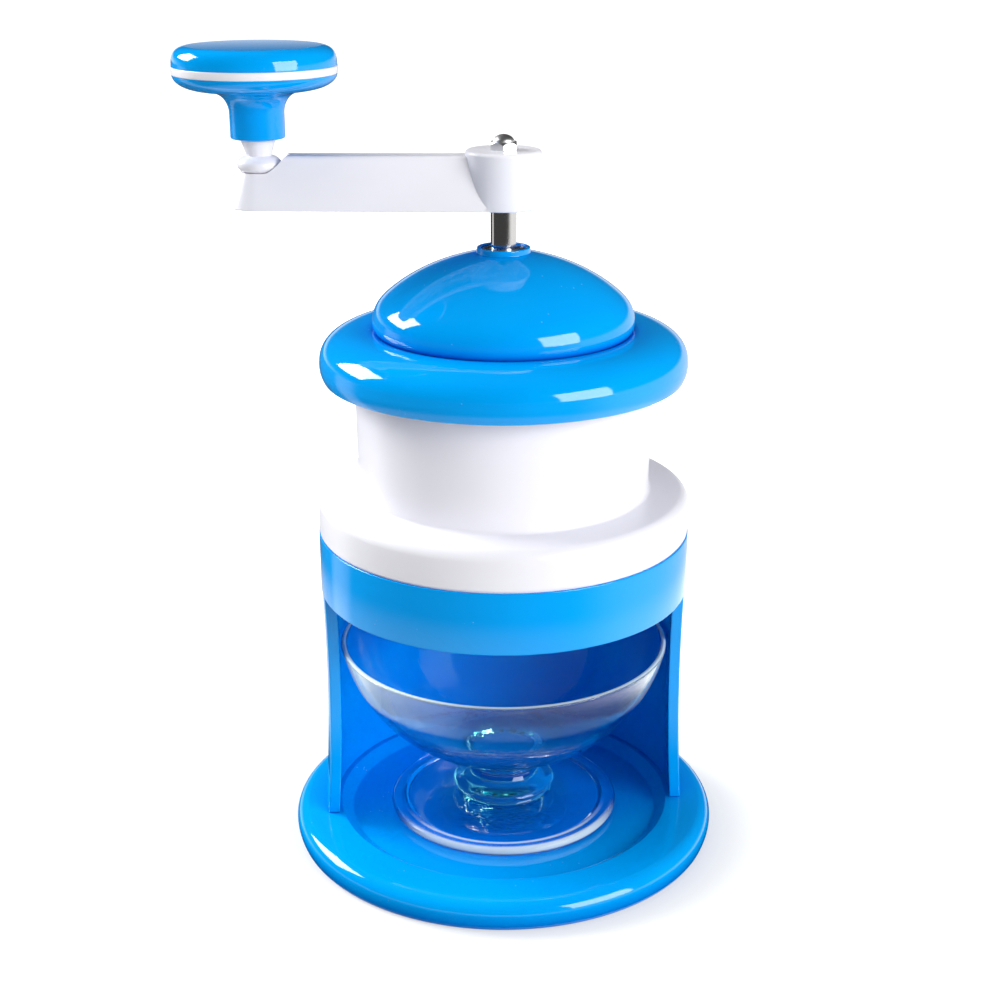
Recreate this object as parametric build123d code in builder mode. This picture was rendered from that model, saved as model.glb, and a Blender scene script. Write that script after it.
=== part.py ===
"""Hand cranked ice shaver: stand with a C-shaped wall, hopper, domed lid, crank and serving bowl.

Millimetres. +Z is up and the origin is the centre of the pad that the stand rests on. The stand
opens towards -Y. The crank is modelled where it rests, pointing almost along -X.
"""

from build123d import *
from math import cos, radians, sin
import os

# ---- driving dimensions ----------------------------------------------------------------------

# fits between pieces
running_clearance = 0.05
slip_clearance = 0.3
seat_clearance = 0.4

# base and what is under it
base_radius = 71.1
base_lip_height = 4.8
base_foot_inset = 1.1
base_floor_gap = 0.4
base_height = 9.55
base_roll_width = 4.25
base_roll_inset = 0.9
base_roll_rise = 2.9
base_shelf_width = 10.1
base_skin = 2.4
base_skin_step = 1.0
base_skirt_draft = 1.2
recess_gap = 1.5
recess_slope_width = 3.8
recess_depth = 2.9
pad_inset = 18.0
pad_thickness = 1.2
pad_groove_pitch = 8.0
pad_groove_width = 1.2
pad_groove_depth = 0.4
plate_thickness = 1.6
boss_radius = 3.4

# C-shaped wall
wall_waist_inset = 1.7
wall_top_inset = 1.2
wall_waist_share = 0.5
wall_thickness = 3.7
wall_height = 79.35
wall_front_reach = 9.7
peg_radius = 1.1
peg_height = 3.0
peg_count = 5
peg_spread = 150.0

# collar ring on top of the wall
collar_step = 0.2
collar_height = 19.9
collar_wall = 3.5
collar_edge = 0.4
ledge_thickness = 3.0
ledge_width = 9.0

# stand screws
stand_screw_radius = 1.1
stand_screw_head_radius = 2.3
stand_screw_bite = 11.0
stand_screw_count = 4
stand_screw_spread = 132.0

# blade plate and blade
blade_plate_thickness = 2.5
blade_slot_width = 3.6
blade_slot_start = 9.0
blade_slot_end_gap = 2.3
blade_land_height = 0.6
blade_end_gap = 1.0
blade_width = 12.0
blade_overhang = 1.0
blade_thickness = 0.8
blade_edge_thickness = 0.12
blade_grind_width = 2.4
blade_screw_radius = 1.2
blade_screw_head_radius = 1.9
blade_screw_pitch = 18.0
blade_screw_share = 0.62
pivot_boss_radius = 7.0
pivot_boss_height = 2.4
pivot_floor = 0.8

# hopper
hopper_bore_inset = 3.2
hopper_wall = 2.4
hopper_foot_wall = 2.3
hopper_top_wall = 3.1
hopper_skirt_inset = 0.2
hopper_skirt_height = 9.6
hopper_shoulder_inset = 2.9
hopper_shoulder_rise = 13.7
hopper_top_rise = 59.3
hopper_spigot_height = 10.0
hopper_fillet = 0.8
shoulder_fall = 0.6
seam_height = 0.5
seam_step = 0.6

# lid
lid_overhang = 9.5
lid_overlap = 8.4
lid_bulge_width = 1.1
lid_bulge_rise = 5.4
lid_rim_inset = 0.15
lid_rim_share = 0.45
lid_crest_inset = 11.9
lid_crest_rise = 14.7
lid_crest_pull = 1.2
lid_shell = 2.4
lid_neck_inset = 5.4
lid_neck_rise = 14.0
dome_bulge_width = 1.25
dome_bulge_rise = 19.65
dome_rise = 38.6
dome_shoulder_share = 0.88
dome_shoulder_rise_share = 0.681
dome_middle_share = 0.66
dome_middle_rise_share = 0.833
dome_crown_share = 0.416
dome_crown_rise_share = 0.94
dome_middle_inset = 1.5
brim_hollow_drop = 1.4
brim_hollow_inset = 0.9
brim_hollow_rise = 1.6
lid_boss_join = 0.35
lid_skirt_wall = 2.2
lid_skirt_drop = 6.5
lid_boss_radius = 9.5
lid_boss_drop = 12.1
lid_collar_radius = 8.3
lid_collar_height = 1.7
lid_collar_recess = 1.5
lid_collar_rim = 1.2

# bush in the lid
bush_wall = 1.4
bush_flange_radius = 6.9
bush_flange_thickness = 1.0
bush_edge = 0.3

# shaft and its fastenings
shaft_radius = 4.0
shaft_flat = 6.2
shaft_shown_length = 12.4
shaft_thread_radius = 2.0
shaft_thread_length = 4.1
shaft_flat_inset = 2.0
shaft_shoulder_drop = 0.2
shaft_chamfer = 0.5
cross_pin_radius = 1.25
cross_pin_length = 17.0

# presser and its spikes
presser_clearance = 1.6
presser_plate_thickness = 3.5
presser_plate_rise = 6.0
presser_hub_radius = 9.5
presser_hub_height = 14.5
presser_rib_height = 4.5
presser_rib_thickness = 2.4
presser_rib_count = 6
presser_rib_inset = 1.0
presser_rib_angle = 15.0
spike_radius = 1.5
spike_drop = 6.3
spike_point = 2.0
spike_tip_radius = 0.3
spike_cover = 0.8
spike_ring_shares = (0.42, 0.66, 0.89)
spike_ring_counts = (4, 5, 6)
spike_ring_angles = (0.0, 20.0, 40.0)

# spring and washers
thrust_washer_thickness = 1.2
spring_radius = 7.2
spring_wire_radius = 0.6
spring_turns = 12

# crank arm
crank_angle = 174.4
arm_height = 15.7
arm_reach = 74.3
arm_foot_hub_half = 11.4
arm_foot_tip_half = 9.8
arm_top_hub_half = 4.2
arm_top_tip_half = 4.0
arm_wall = 2.2
arm_top_wall = 2.6
arm_pocket_count = 3
arm_rib_thickness = 1.6
arm_web_thickness = 1.6
hub_radius = 11.8
hub_height = 17.3
hub_edge = 1.2
scoop_floor_radius = 6.4
scoop_top_radius = 9.3
scoop_depth = 5.1
collar_foot_radius = 4.6
peg_collar_radius = 6.85
peg_collar_height = 4.9
peg_collar_share = 0.45
peg_root = 1.0
peg_foot_radius = 3.8
peg_head_radius = 5.4
peg_shown_height = 5.15
spindle_radius = 3.6

# crank nut
nut_across_flats = 8.0
nut_hex_height = 2.4
nut_dome_radius = 3.3
nut_height = 4.6

# knob
knob_radius = 24.6
knob_stem_radius = 8.25
knob_stem_height = 7.5
knob_neck_radius = 9.9
knob_under_height = 11.95
knob_belly_radius = 22.0
knob_belly_height = 15.8
knob_lower_height = 19.0
knob_band_height = 2.4
knob_height = 27.2
knob_shoulder_inset = 1.1
knob_shoulder_rise = 4.35
knob_top_radius = 20.0
knob_shell = 2.2
knob_cup_draft = 1.5
knob_cup_rise = 2.3
knob_cup_inset = 9.0
knob_cap_skin = 2.6
knob_cap_inset = 1.5
knob_cap_step = 0.6
knob_band_edge = 0.4
knob_plug_wall = 1.8
knob_band_seat = 2.0
knob_band_step = 0.2
knob_screw_radius = 1.3
knob_screw_bite = 12.0
knob_screw_head_radius = 2.8
knob_screw_head_height = 1.8
knob_screw_edge = 0.7
knob_screw_slot_length = 3.2
knob_screw_slot_width = 0.7
knob_washer_radius = 6.2
knob_washer_thickness = 0.9

# bowl
bowl_gap = 1.8
bowl_height = 62.0
bowl_wall = 1.8
bowl_side_inset = 9.3
bowl_side_height = 41.0
bowl_belly_radius = 19.5
bowl_belly_height = 22.2
bowl_rim_bead = 1.2
bowl_stem_radius = 12.0
bowl_knot_radius = 17.0
bowl_knot_height = 8.6
bowl_knot_thickness = 2.6
bowl_foot_inset = 15.7
bowl_foot_ring_width = 6.0
bowl_foot_ring_height = 3.4
bowl_foot_plate = 1.6
bowl_foot_ease = 1.0
bowl_knot_root = 1.5
bowl_knot_neck = 1.2
bowl_neck_width = 4.5
bowl_neck_fall = 1.1

# ---- heights and radii that follow -----------------------------------------------------------

base_foot_radius = base_radius - base_foot_inset
base_edge_radius = base_radius - base_roll_width
wall_foot_radius = base_radius - base_shelf_width
wall_waist_radius = wall_foot_radius - wall_waist_inset
wall_top_radius = wall_foot_radius - wall_top_inset
recess_radius = wall_foot_radius - wall_thickness - recess_gap
recess_floor_radius = recess_radius - recess_slope_width
pad_radius = base_foot_radius - pad_inset
collar_radius = wall_top_radius + collar_step
collar_bore_radius = collar_radius - collar_wall
ledge_bore_radius = collar_bore_radius - ledge_width
hopper_bore_radius = ledge_bore_radius - hopper_bore_inset
hopper_foot_radius = hopper_bore_radius + hopper_foot_wall
hopper_top_radius = hopper_bore_radius + hopper_top_wall
hopper_skirt_radius = collar_radius - hopper_skirt_inset
hopper_shoulder_radius = hopper_skirt_radius - hopper_shoulder_inset
lid_rim_radius = hopper_top_radius + lid_overhang
lid_bulge_radius = lid_rim_radius + lid_bulge_width
lid_crest_radius = lid_rim_radius - lid_crest_inset
lid_neck_radius = lid_crest_radius - lid_neck_inset
dome_radius = lid_neck_radius + dome_bulge_width
blade_slot_length = hopper_bore_radius - blade_slot_end_gap - blade_slot_start
blade_length = blade_slot_length - blade_end_gap
bowl_rim_radius = wall_top_radius - wall_thickness - bowl_gap
bowl_side_radius = bowl_rim_radius - bowl_side_inset
bowl_foot_radius = bowl_rim_radius - bowl_foot_inset
recess_floor = base_height - recess_depth
plate_top = pad_thickness + plate_thickness
wall_top = base_height + wall_height
wall_screw_ring = wall_foot_radius - wall_thickness / 2
peg_ring = wall_top_radius - wall_thickness / 2
collar_top = wall_top + collar_height
ledge_top = wall_top + ledge_thickness
blade_plate_top = ledge_top + blade_plate_thickness
blade_bottom = blade_plate_top + blade_land_height
blade_top = blade_bottom + blade_thickness
pivot_top = blade_plate_top + pivot_boss_height
shaft_bottom = blade_plate_top + pivot_floor + running_clearance
hopper_foot = blade_plate_top
skirt_bottom = collar_top + seam_height
hopper_top = collar_top + hopper_top_rise
shoulder_height = collar_top + hopper_shoulder_rise
lid_seat = hopper_top + slip_clearance
lid_rim_height = hopper_top - lid_overlap
dome_top = lid_rim_height + dome_rise
lid_collar_top = dome_top + lid_collar_height
bush_top = lid_collar_top - lid_collar_recess
bush_bore_radius = shaft_radius + running_clearance
bush_radius = bush_bore_radius + bush_wall
lid_boss_bottom = dome_top - lid_boss_drop
arm_bottom = lid_collar_top + shaft_shown_length
arm_top = arm_bottom + arm_height
hub_top = arm_bottom + hub_height
shaft_flats_start = arm_bottom + shaft_flat_inset
shaft_shoulder = hub_top - shaft_shoulder_drop
shaft_top = shaft_shoulder + shaft_thread_length
presser_bottom = pivot_top + slip_clearance
presser_plate_bottom = presser_bottom + presser_plate_rise
presser_plate_top = presser_plate_bottom + presser_plate_thickness
presser_top = presser_bottom + presser_hub_height
presser_radius = hopper_bore_radius - presser_clearance
cross_pin_height = (presser_plate_top + presser_top) / 2
thrust_washer_bottom = presser_top + slip_clearance
spring_bottom = thrust_washer_bottom + thrust_washer_thickness
spring_top = lid_boss_bottom
peg_base = arm_top - scoop_depth
stem_bottom = peg_base + peg_collar_height + peg_shown_height
peg_top = stem_bottom - slip_clearance
knob_lower_top = stem_bottom + knob_lower_height
knob_band_top = knob_lower_top + knob_band_height
knob_top = stem_bottom + knob_height
spindle_top = stem_bottom + knob_under_height + knob_shell + slip_clearance
crank_plane = Plane.XY.rotated((0, 0, crank_angle))
bowl_floor = recess_floor
hub_bore_radius = shaft_radius + running_clearance
knob_bore_radius = spindle_radius + running_clearance

back_angle = 90.0
stand_screw_start = back_angle - stand_screw_spread / 2
stand_screw_step = stand_screw_spread / (stand_screw_count - 1)
peg_start = back_angle - peg_spread / 2
peg_step = peg_spread / (peg_count - 1)


def ring_places(radius, start, step, count):
    """Places spaced evenly along an arc about the stand's axis."""
    angles = [radians(start + step * index) for index in range(count)]
    return [(radius * cos(angle), radius * sin(angle)) for angle in angles]


os.makedirs("parts", exist_ok=True)
finished = []


def keep(builder, name):
    """Label a finished piece and write it out."""
    builder.part.label = name
    export_step(builder.part, f"parts/{name}.step")
    finished.append(name)


# ---- stand -----------------------------------------------------------------------------------

screw_places = ring_places(wall_screw_ring, stand_screw_start, stand_screw_step, stand_screw_count)
peg_places = ring_places(peg_ring, peg_start, peg_step, peg_count)
under_skin = base_height - base_skin
under_recess = recess_floor - base_skin
lip_inner_radius = base_foot_radius - base_skin

# The base is a moulded shell: a shallow round recess for the bowl, a flat top and a rolled lip.
with BuildPart() as base:
    with BuildSketch(Plane.XZ):
        with BuildLine():
            Polyline(
                (0, recess_floor),
                (recess_floor_radius, recess_floor),
                (recess_radius, base_height),
                (base_edge_radius, base_height),
            )
            ThreePointArc(
                (base_edge_radius, base_height),
                (base_radius - base_roll_inset, base_lip_height + base_roll_rise),
                (base_radius, base_lip_height),
            )
            Spline(
                (base_radius, base_lip_height),
                (base_foot_radius, base_floor_gap),
                tangents=((0, -1), (-0.5, -1)),
            )
            Polyline(
                (base_foot_radius, base_floor_gap),
                (lip_inner_radius, base_floor_gap),
                (lip_inner_radius, plate_top),
                (lip_inner_radius - base_skirt_draft, under_skin),
                (recess_radius + base_skin_step, under_skin),
                (recess_floor_radius + base_skin_step, under_recess),
                (0, under_recess),
                (0, recess_floor),
            )
        make_face()
    revolve(axis=Axis.Z)
    with BuildSketch(Plane.XY.offset(plate_top)):
        with Locations(*screw_places):
            Circle(boss_radius)
    extrude(amount=base_height - plate_top - base_skin / 2)
    with BuildSketch(Plane.XY.offset(plate_top)):
        with Locations(*screw_places):
            Circle(stand_screw_radius + running_clearance)
    extrude(amount=base_height, mode=Mode.SUBTRACT)
keep(base, "base")

# The bottom plate closes the base from below and is held by the stand screws.
with BuildPart() as bottom_plate:
    with BuildSketch(Plane.XY.offset(pad_thickness)):
        Circle(lip_inner_radius - slip_clearance)
    extrude(amount=plate_thickness)
    with Locations(*[(x, y, pad_thickness) for x, y in screw_places]):
        with Locations(Rotation(180, 0, 0)):
            CounterSinkHole(
                radius=stand_screw_radius + running_clearance,
                counter_sink_radius=stand_screw_head_radius + running_clearance,
                depth=plate_thickness,
            )
keep(bottom_plate, "bottom_plate")

# The soft pad that the shaver stands on, with concentric grooves in its underside.
with BuildPart() as grip_pad:
    with BuildSketch(Plane.XY):
        Circle(pad_radius)
    extrude(amount=pad_thickness)
    groove_count = int((pad_radius - pad_groove_pitch) / pad_groove_pitch)
    for groove in range(1, groove_count + 1):
        with BuildSketch(Plane.XY):
            Circle(pad_groove_pitch * groove + pad_groove_width)
            Circle(pad_groove_pitch * groove, mode=Mode.SUBTRACT)
        extrude(amount=pad_groove_depth, mode=Mode.SUBTRACT)
keep(grip_pad, "grip_pad")

# Four countersunk screws run from the bottom plate through the base into the wall's lower edge.
stand_screw_length = base_height - pad_thickness + stand_screw_bite
stand_head_depth = stand_screw_head_radius - stand_screw_radius
with BuildPart() as stand_screws:
    with BuildSketch(Plane.XY.offset(pad_thickness)):
        with Locations(*screw_places):
            Circle(stand_screw_radius)
    extrude(amount=stand_screw_length)
    with Locations(*[(x, y, pad_thickness) for x, y in screw_places]):
        Cone(
            stand_screw_head_radius,
            stand_screw_radius,
            stand_head_depth,
            align=(Align.CENTER, Align.CENTER, Align.MIN),
        )
keep(stand_screws, "stand_screws")

# The wall bends round the bowl as a C, slightly waisted, open towards the front.
waist_height = base_height + wall_height * wall_waist_share
with BuildPart() as stand_wall:
    with BuildSketch(Plane.XZ):
        with BuildLine():
            ThreePointArc(
                (wall_foot_radius, base_height),
                (wall_waist_radius, waist_height),
                (wall_top_radius, wall_top),
            )
            Line((wall_top_radius, wall_top), (wall_top_radius - wall_thickness, wall_top))
            ThreePointArc(
                (wall_top_radius - wall_thickness, wall_top),
                (wall_waist_radius - wall_thickness, waist_height),
                (wall_foot_radius - wall_thickness, base_height),
            )
            Line((wall_foot_radius - wall_thickness, base_height), (wall_foot_radius, base_height))
        make_face()
    revolve(axis=Axis.Z)
    split(bisect_by=Plane.XZ.offset(wall_front_reach), keep=Keep.BOTTOM)
    with BuildSketch(Plane.XY.offset(wall_top)):
        with Locations(*peg_places):
            Circle(peg_radius)
    extrude(amount=peg_height)
    with BuildSketch(Plane.XY.offset(base_height)):
        with Locations(*screw_places):
            Circle(stand_screw_radius + running_clearance)
    extrude(amount=stand_screw_bite + slip_clearance, mode=Mode.SUBTRACT)
keep(stand_wall, "stand_wall")

# The collar ring joins the wall to the hopper. Its inner ledge carries the blade plate.
with BuildPart() as collar_ring:
    with BuildSketch(Plane.XZ):
        with BuildLine():
            Polyline(
                (collar_radius, wall_top),
                (collar_radius, collar_top),
                (collar_bore_radius, collar_top),
                (collar_bore_radius, ledge_top),
                (ledge_bore_radius, ledge_top),
                (ledge_bore_radius, wall_top),
                (collar_radius, wall_top),
            )
        make_face()
    revolve(axis=Axis.Z)
    outer_rims = collar_ring.edges().filter_by(GeomType.CIRCLE).group_by(SortBy.RADIUS)[-1]
    fillet(outer_rims, radius=collar_edge)
    with BuildSketch(Plane.XY.offset(wall_top)):
        with Locations(*peg_places):
            Circle(peg_radius + running_clearance)
    extrude(amount=peg_height + slip_clearance, mode=Mode.SUBTRACT)
keep(collar_ring, "collar_ring")

# ---- blade -----------------------------------------------------------------------------------

blade_edge_y = blade_slot_width / 2 - blade_overhang
blade_middle_x = blade_slot_start + blade_slot_length / 2
blade_screw_y = blade_edge_y + blade_width * blade_screw_share
blade_screw_places = [
    (blade_middle_x - blade_screw_pitch / 2, blade_screw_y),
    (blade_middle_x + blade_screw_pitch / 2, blade_screw_y),
]
land_width = blade_width - blade_overhang

# The blade plate lies on the collar's ledge. Shaved ice falls through its slot into the bowl.
# A raised land beside the slot carries the blade, and a boss in the middle centres the shaft.
with BuildPart() as blade_plate:
    with BuildSketch(Plane.XY.offset(ledge_top)):
        Circle(collar_bore_radius - seat_clearance)
    extrude(amount=blade_plate_thickness)
    with BuildSketch(Plane.XY.offset(blade_plate_top)):
        Circle(pivot_boss_radius)
    extrude(amount=pivot_boss_height)
    with BuildSketch(Plane.XY.offset(blade_plate_top)):
        with Locations((blade_middle_x, blade_slot_width / 2 + land_width / 2)):
            Rectangle(blade_length, land_width)
    extrude(amount=blade_land_height)
    with BuildSketch(Plane.XY.offset(blade_plate_top + pivot_floor)):
        Circle(shaft_radius + running_clearance)
    extrude(amount=pivot_boss_height, mode=Mode.SUBTRACT)
    with BuildSketch(Plane.XY.offset(ledge_top)):
        with Locations((blade_middle_x, 0)):
            Rectangle(blade_slot_length, blade_slot_width)
        with Locations(*blade_screw_places):
            Circle(blade_screw_radius + running_clearance)
    extrude(amount=blade_plate_thickness + blade_land_height, mode=Mode.SUBTRACT)
keep(blade_plate, "blade_plate")

# The steel blade: a flat strip, ground to an edge that reaches a little over the slot.
with BuildPart() as blade:
    with BuildSketch(Plane.YZ.offset(blade_middle_x - blade_length / 2)):
        with BuildLine():
            Polyline(
                (blade_edge_y, blade_top),
                (blade_edge_y, blade_top - blade_edge_thickness),
                (blade_edge_y + blade_grind_width, blade_bottom),
                (blade_edge_y + blade_width, blade_bottom),
                (blade_edge_y + blade_width, blade_top),
                (blade_edge_y, blade_top),
            )
        make_face()
    extrude(amount=blade_length)
    with Locations(*[(x, y, blade_top) for x, y in blade_screw_places]):
        CounterSinkHole(
            radius=blade_screw_radius + running_clearance,
            counter_sink_radius=blade_screw_head_radius + running_clearance,
            depth=blade_thickness,
        )
keep(blade, "blade")

# Two countersunk screws hold the blade on its land.
blade_head_depth = blade_screw_head_radius - blade_screw_radius
with BuildPart() as blade_screws:
    with BuildSketch(Plane.XY.offset(ledge_top)):
        with Locations(*blade_screw_places):
            Circle(blade_screw_radius)
    extrude(amount=blade_top - ledge_top)
    with Locations(*[(x, y, blade_top - blade_head_depth) for x, y in blade_screw_places]):
        Cone(
            blade_screw_radius,
            blade_screw_head_radius,
            blade_head_depth,
            align=(Align.CENTER, Align.CENTER, Align.MIN),
        )
keep(blade_screws, "blade_screws")

# ---- hopper ----------------------------------------------------------------------------------

# The hopper is a tube for the ice, open above and below, with a shouldered skirt that seats on
# the collar ring and a spigot that centres it there.
spigot_radius = collar_bore_radius - slip_clearance
under_shoulder = shoulder_height - hopper_wall
with BuildPart() as hopper:
    with BuildSketch(Plane.XZ):
        with BuildLine():
            Polyline(
                (hopper_bore_radius, hopper_foot),
                (hopper_bore_radius, hopper_top),
                (hopper_top_radius, hopper_top),
                (hopper_foot_radius, shoulder_height + hopper_fillet),
            )
            RadiusArc(
                (hopper_foot_radius, shoulder_height + hopper_fillet),
                (hopper_foot_radius + hopper_fillet, shoulder_height),
                -hopper_fillet,
            )
            Line(
                (hopper_foot_radius + hopper_fillet, shoulder_height),
                (hopper_shoulder_radius, shoulder_height - shoulder_fall),
            )
            Spline(
                (hopper_shoulder_radius, shoulder_height - shoulder_fall),
                (hopper_skirt_radius, collar_top + hopper_skirt_height),
                tangents=((1, -0.15), (0, -1)),
            )
            Polyline(
                (hopper_skirt_radius, collar_top + hopper_skirt_height),
                (hopper_skirt_radius, skirt_bottom),
                (hopper_skirt_radius - seam_step, skirt_bottom),
                (hopper_skirt_radius - seam_step, collar_top),
                (spigot_radius, collar_top),
                (spigot_radius, collar_top - hopper_spigot_height),
                (spigot_radius - hopper_wall, collar_top - hopper_spigot_height),
                (spigot_radius - hopper_wall, under_shoulder),
                (hopper_foot_radius, under_shoulder),
                (hopper_foot_radius, hopper_foot),
                (hopper_bore_radius, hopper_foot),
            )
        make_face()
    revolve(axis=Axis.Z)
    fillet(hopper.edges().filter_by(GeomType.CIRCLE).group_by(Axis.Z)[-1], radius=hopper_fillet)
keep(hopper, "hopper")

# ---- lid -------------------------------------------------------------------------------------

skirt_radius = hopper_top_radius + slip_clearance
brim_inner_radius = lid_rim_radius - lid_shell
neck_inner_radius = lid_neck_radius - lid_shell
neck_height = lid_rim_height + lid_neck_rise
crest_height = lid_rim_height + lid_crest_rise
bulge_height = lid_rim_height + lid_bulge_rise
dome_bulge_height = lid_rim_height + dome_bulge_rise
inner_crest = crest_height - lid_shell
dome_shoulder_radius = dome_radius * dome_shoulder_share
dome_shoulder_height = lid_rim_height + dome_rise * dome_shoulder_rise_share
dome_middle_radius = dome_radius * dome_middle_share
dome_middle_height = lid_rim_height + dome_rise * dome_middle_rise_share
dome_crown_radius = dome_radius * dome_crown_share
dome_crown_height = lid_rim_height + dome_rise * dome_crown_rise_share
boss_join_height = dome_top - lid_shell - lid_boss_join
skirt_outer_radius = skirt_radius + lid_skirt_wall
hollow_crest = inner_crest - brim_hollow_drop

# The lid has a fat rolled brim and a dome. A collar on top holds the bush, and a skirt inside
# the brim fits round the top of the hopper.
with BuildPart() as lid:
    with BuildSketch(Plane.XZ):
        with BuildLine():
            ThreePointArc(
                (lid_rim_radius, lid_rim_height),
                (lid_bulge_radius - lid_rim_inset, lid_rim_height + lid_bulge_rise * lid_rim_share),
                (lid_bulge_radius, bulge_height),
            )
            Spline(
                (lid_bulge_radius, bulge_height),
                (lid_crest_radius, crest_height),
                tangents=((0, 1), (-1, 0)),
                tangent_scalars=(lid_crest_pull, lid_crest_pull),
            )
            Spline(
                (lid_crest_radius, crest_height),
                (lid_neck_radius, neck_height),
                tangents=((-1, 0), (-0.9, -0.5)),
            )
            Spline(
                (lid_neck_radius, neck_height),
                (dome_radius, dome_bulge_height),
                (dome_shoulder_radius, dome_shoulder_height),
                (dome_middle_radius, dome_middle_height),
                (dome_crown_radius, dome_crown_height),
                (lid_collar_radius, dome_top),
                tangents=((0.9, 0.5), (-1, 0.22)),
            )
            Polyline(
                (lid_collar_radius, dome_top),
                (lid_collar_radius, lid_collar_top),
                (lid_collar_radius - lid_collar_rim, lid_collar_top),
                (lid_collar_radius - lid_collar_rim, bush_top),
                (bush_radius, bush_top),
                (bush_radius, lid_boss_bottom),
                (lid_boss_radius, lid_boss_bottom),
                (lid_boss_radius, boss_join_height),
            )
            ThreePointArc(
                (lid_boss_radius, boss_join_height),
                (dome_middle_radius - dome_middle_inset, dome_middle_height - lid_shell),
                (neck_inner_radius, dome_bulge_height),
            )
            Polyline(
                (neck_inner_radius, dome_bulge_height),
                (neck_inner_radius, lid_seat),
                (skirt_radius, lid_seat),
                (skirt_radius, lid_seat - lid_skirt_drop),
                (skirt_outer_radius, lid_seat - lid_skirt_drop),
                (skirt_outer_radius, hollow_crest),
            )
            ThreePointArc(
                (skirt_outer_radius, hollow_crest),
                (brim_inner_radius - brim_hollow_inset, bulge_height + brim_hollow_rise),
                (brim_inner_radius, lid_rim_height),
            )
            Line((brim_inner_radius, lid_rim_height), (lid_rim_radius, lid_rim_height))
        make_face()
    revolve(axis=Axis.Z)
keep(lid, "lid")

# The flanged steel bush in the lid's collar guides the shaft.
with BuildPart() as lid_bush:
    with BuildSketch(Plane.XZ):
        with BuildLine():
            Polyline(
                (bush_bore_radius, lid_boss_bottom),
                (bush_bore_radius, bush_top + bush_flange_thickness),
                (bush_flange_radius, bush_top + bush_flange_thickness),
                (bush_flange_radius, bush_top),
                (bush_radius, bush_top),
                (bush_radius, lid_boss_bottom),
                (bush_bore_radius, lid_boss_bottom),
            )
        make_face()
    revolve(axis=Axis.Z)
    fillet(lid_bush.edges().filter_by(GeomType.CIRCLE).group_by(Axis.Z)[-1][-1], radius=bush_edge)
keep(lid_bush, "lid_bush")

# ---- shaft and presser -----------------------------------------------------------------------

# The shaft runs from the boss on the blade plate up into the crank's hub. Its upper end has two
# flats that turn it with the crank, and a thread for the crank nut.
with BuildPart() as shaft:
    with BuildSketch(Plane.XY.offset(shaft_bottom)):
        Circle(shaft_radius)
    extrude(amount=shaft_flats_start - shaft_bottom)
    with BuildSketch(crank_plane.offset(shaft_flats_start)):
        Circle(shaft_radius)
        Rectangle(shaft_flat, shaft_radius * 3, mode=Mode.INTERSECT)
    extrude(amount=shaft_shoulder - shaft_flats_start)
    with BuildSketch(Plane.XY.offset(shaft_shoulder)):
        Circle(shaft_thread_radius)
    extrude(amount=shaft_thread_length)
    chamfer(shaft.edges().filter_by(GeomType.CIRCLE).group_by(Axis.Z)[0], length=shaft_chamfer)
    with BuildSketch(Plane.YZ.offset(-shaft_radius * 2)):
        with Locations((0, cross_pin_height)):
            Circle(cross_pin_radius + running_clearance)
    extrude(amount=shaft_radius * 4, mode=Mode.SUBTRACT)
keep(shaft, "shaft")

# The cross pin locks the presser to the shaft.
with BuildPart() as cross_pin:
    with BuildSketch(Plane.YZ.offset(-cross_pin_length / 2)):
        with Locations((0, cross_pin_height)):
            Circle(cross_pin_radius)
    extrude(amount=cross_pin_length)
keep(cross_pin, "cross_pin")

spike_places = [
    place
    for share, count, start in zip(spike_ring_shares, spike_ring_counts, spike_ring_angles)
    for place in ring_places(presser_radius * share, start, 360 / count, count)
]

rib_length = presser_radius - presser_rib_inset

# The presser turns with the shaft, grips the ice with its spikes and carries it over the blade.
with BuildPart() as presser:
    with BuildSketch(Plane.XY.offset(presser_bottom)):
        Circle(presser_hub_radius)
    extrude(amount=presser_hub_height)
    with BuildSketch(Plane.XY.offset(presser_plate_bottom)):
        Circle(presser_radius)
    extrude(amount=presser_plate_thickness)
    with BuildSketch(Plane.XY.offset(presser_plate_top)):
        with PolarLocations(rib_length / 2, presser_rib_count, start_angle=presser_rib_angle):
            Rectangle(rib_length, presser_rib_thickness)
    extrude(amount=presser_rib_height)
    with BuildSketch(Plane.XY.offset(presser_bottom)):
        Circle(shaft_radius + running_clearance)
    extrude(amount=presser_hub_height, mode=Mode.SUBTRACT)
    with BuildSketch(Plane.XY.offset(presser_plate_bottom)):
        with Locations(*spike_places):
            Circle(spike_radius + running_clearance)
    extrude(amount=presser_plate_thickness - spike_cover, mode=Mode.SUBTRACT)
    with BuildSketch(Plane.YZ.offset(-presser_radius)):
        with Locations((0, cross_pin_height)):
            Circle(cross_pin_radius + running_clearance)
    extrude(amount=presser_radius * 2, mode=Mode.SUBTRACT)
keep(presser, "presser")

# Pointed steel spikes are set in the presser from below.
spike_length = spike_drop + presser_plate_thickness - spike_cover
with BuildPart() as presser_spikes:
    with BuildSketch(Plane.XY.offset(presser_plate_bottom - spike_drop + spike_point)):
        with Locations(*spike_places):
            Circle(spike_radius)
    extrude(amount=spike_length - spike_point)
    with Locations(*[(x, y, presser_plate_bottom - spike_drop) for x, y in spike_places]):
        Cone(
            spike_tip_radius,
            spike_radius,
            spike_point,
            align=(Align.CENTER, Align.CENTER, Align.MIN),
        )
keep(presser_spikes, "presser_spikes")

# A thrust washer lies between the turning presser and the spring, which doesn't turn.
with BuildPart() as thrust_washer:
    with BuildSketch(Plane.XY.offset(thrust_washer_bottom)):
        Circle(presser_hub_radius)
        Circle(shaft_radius + slip_clearance, mode=Mode.SUBTRACT)
    extrude(amount=thrust_washer_thickness)
keep(thrust_washer, "thrust_washer")

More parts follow.
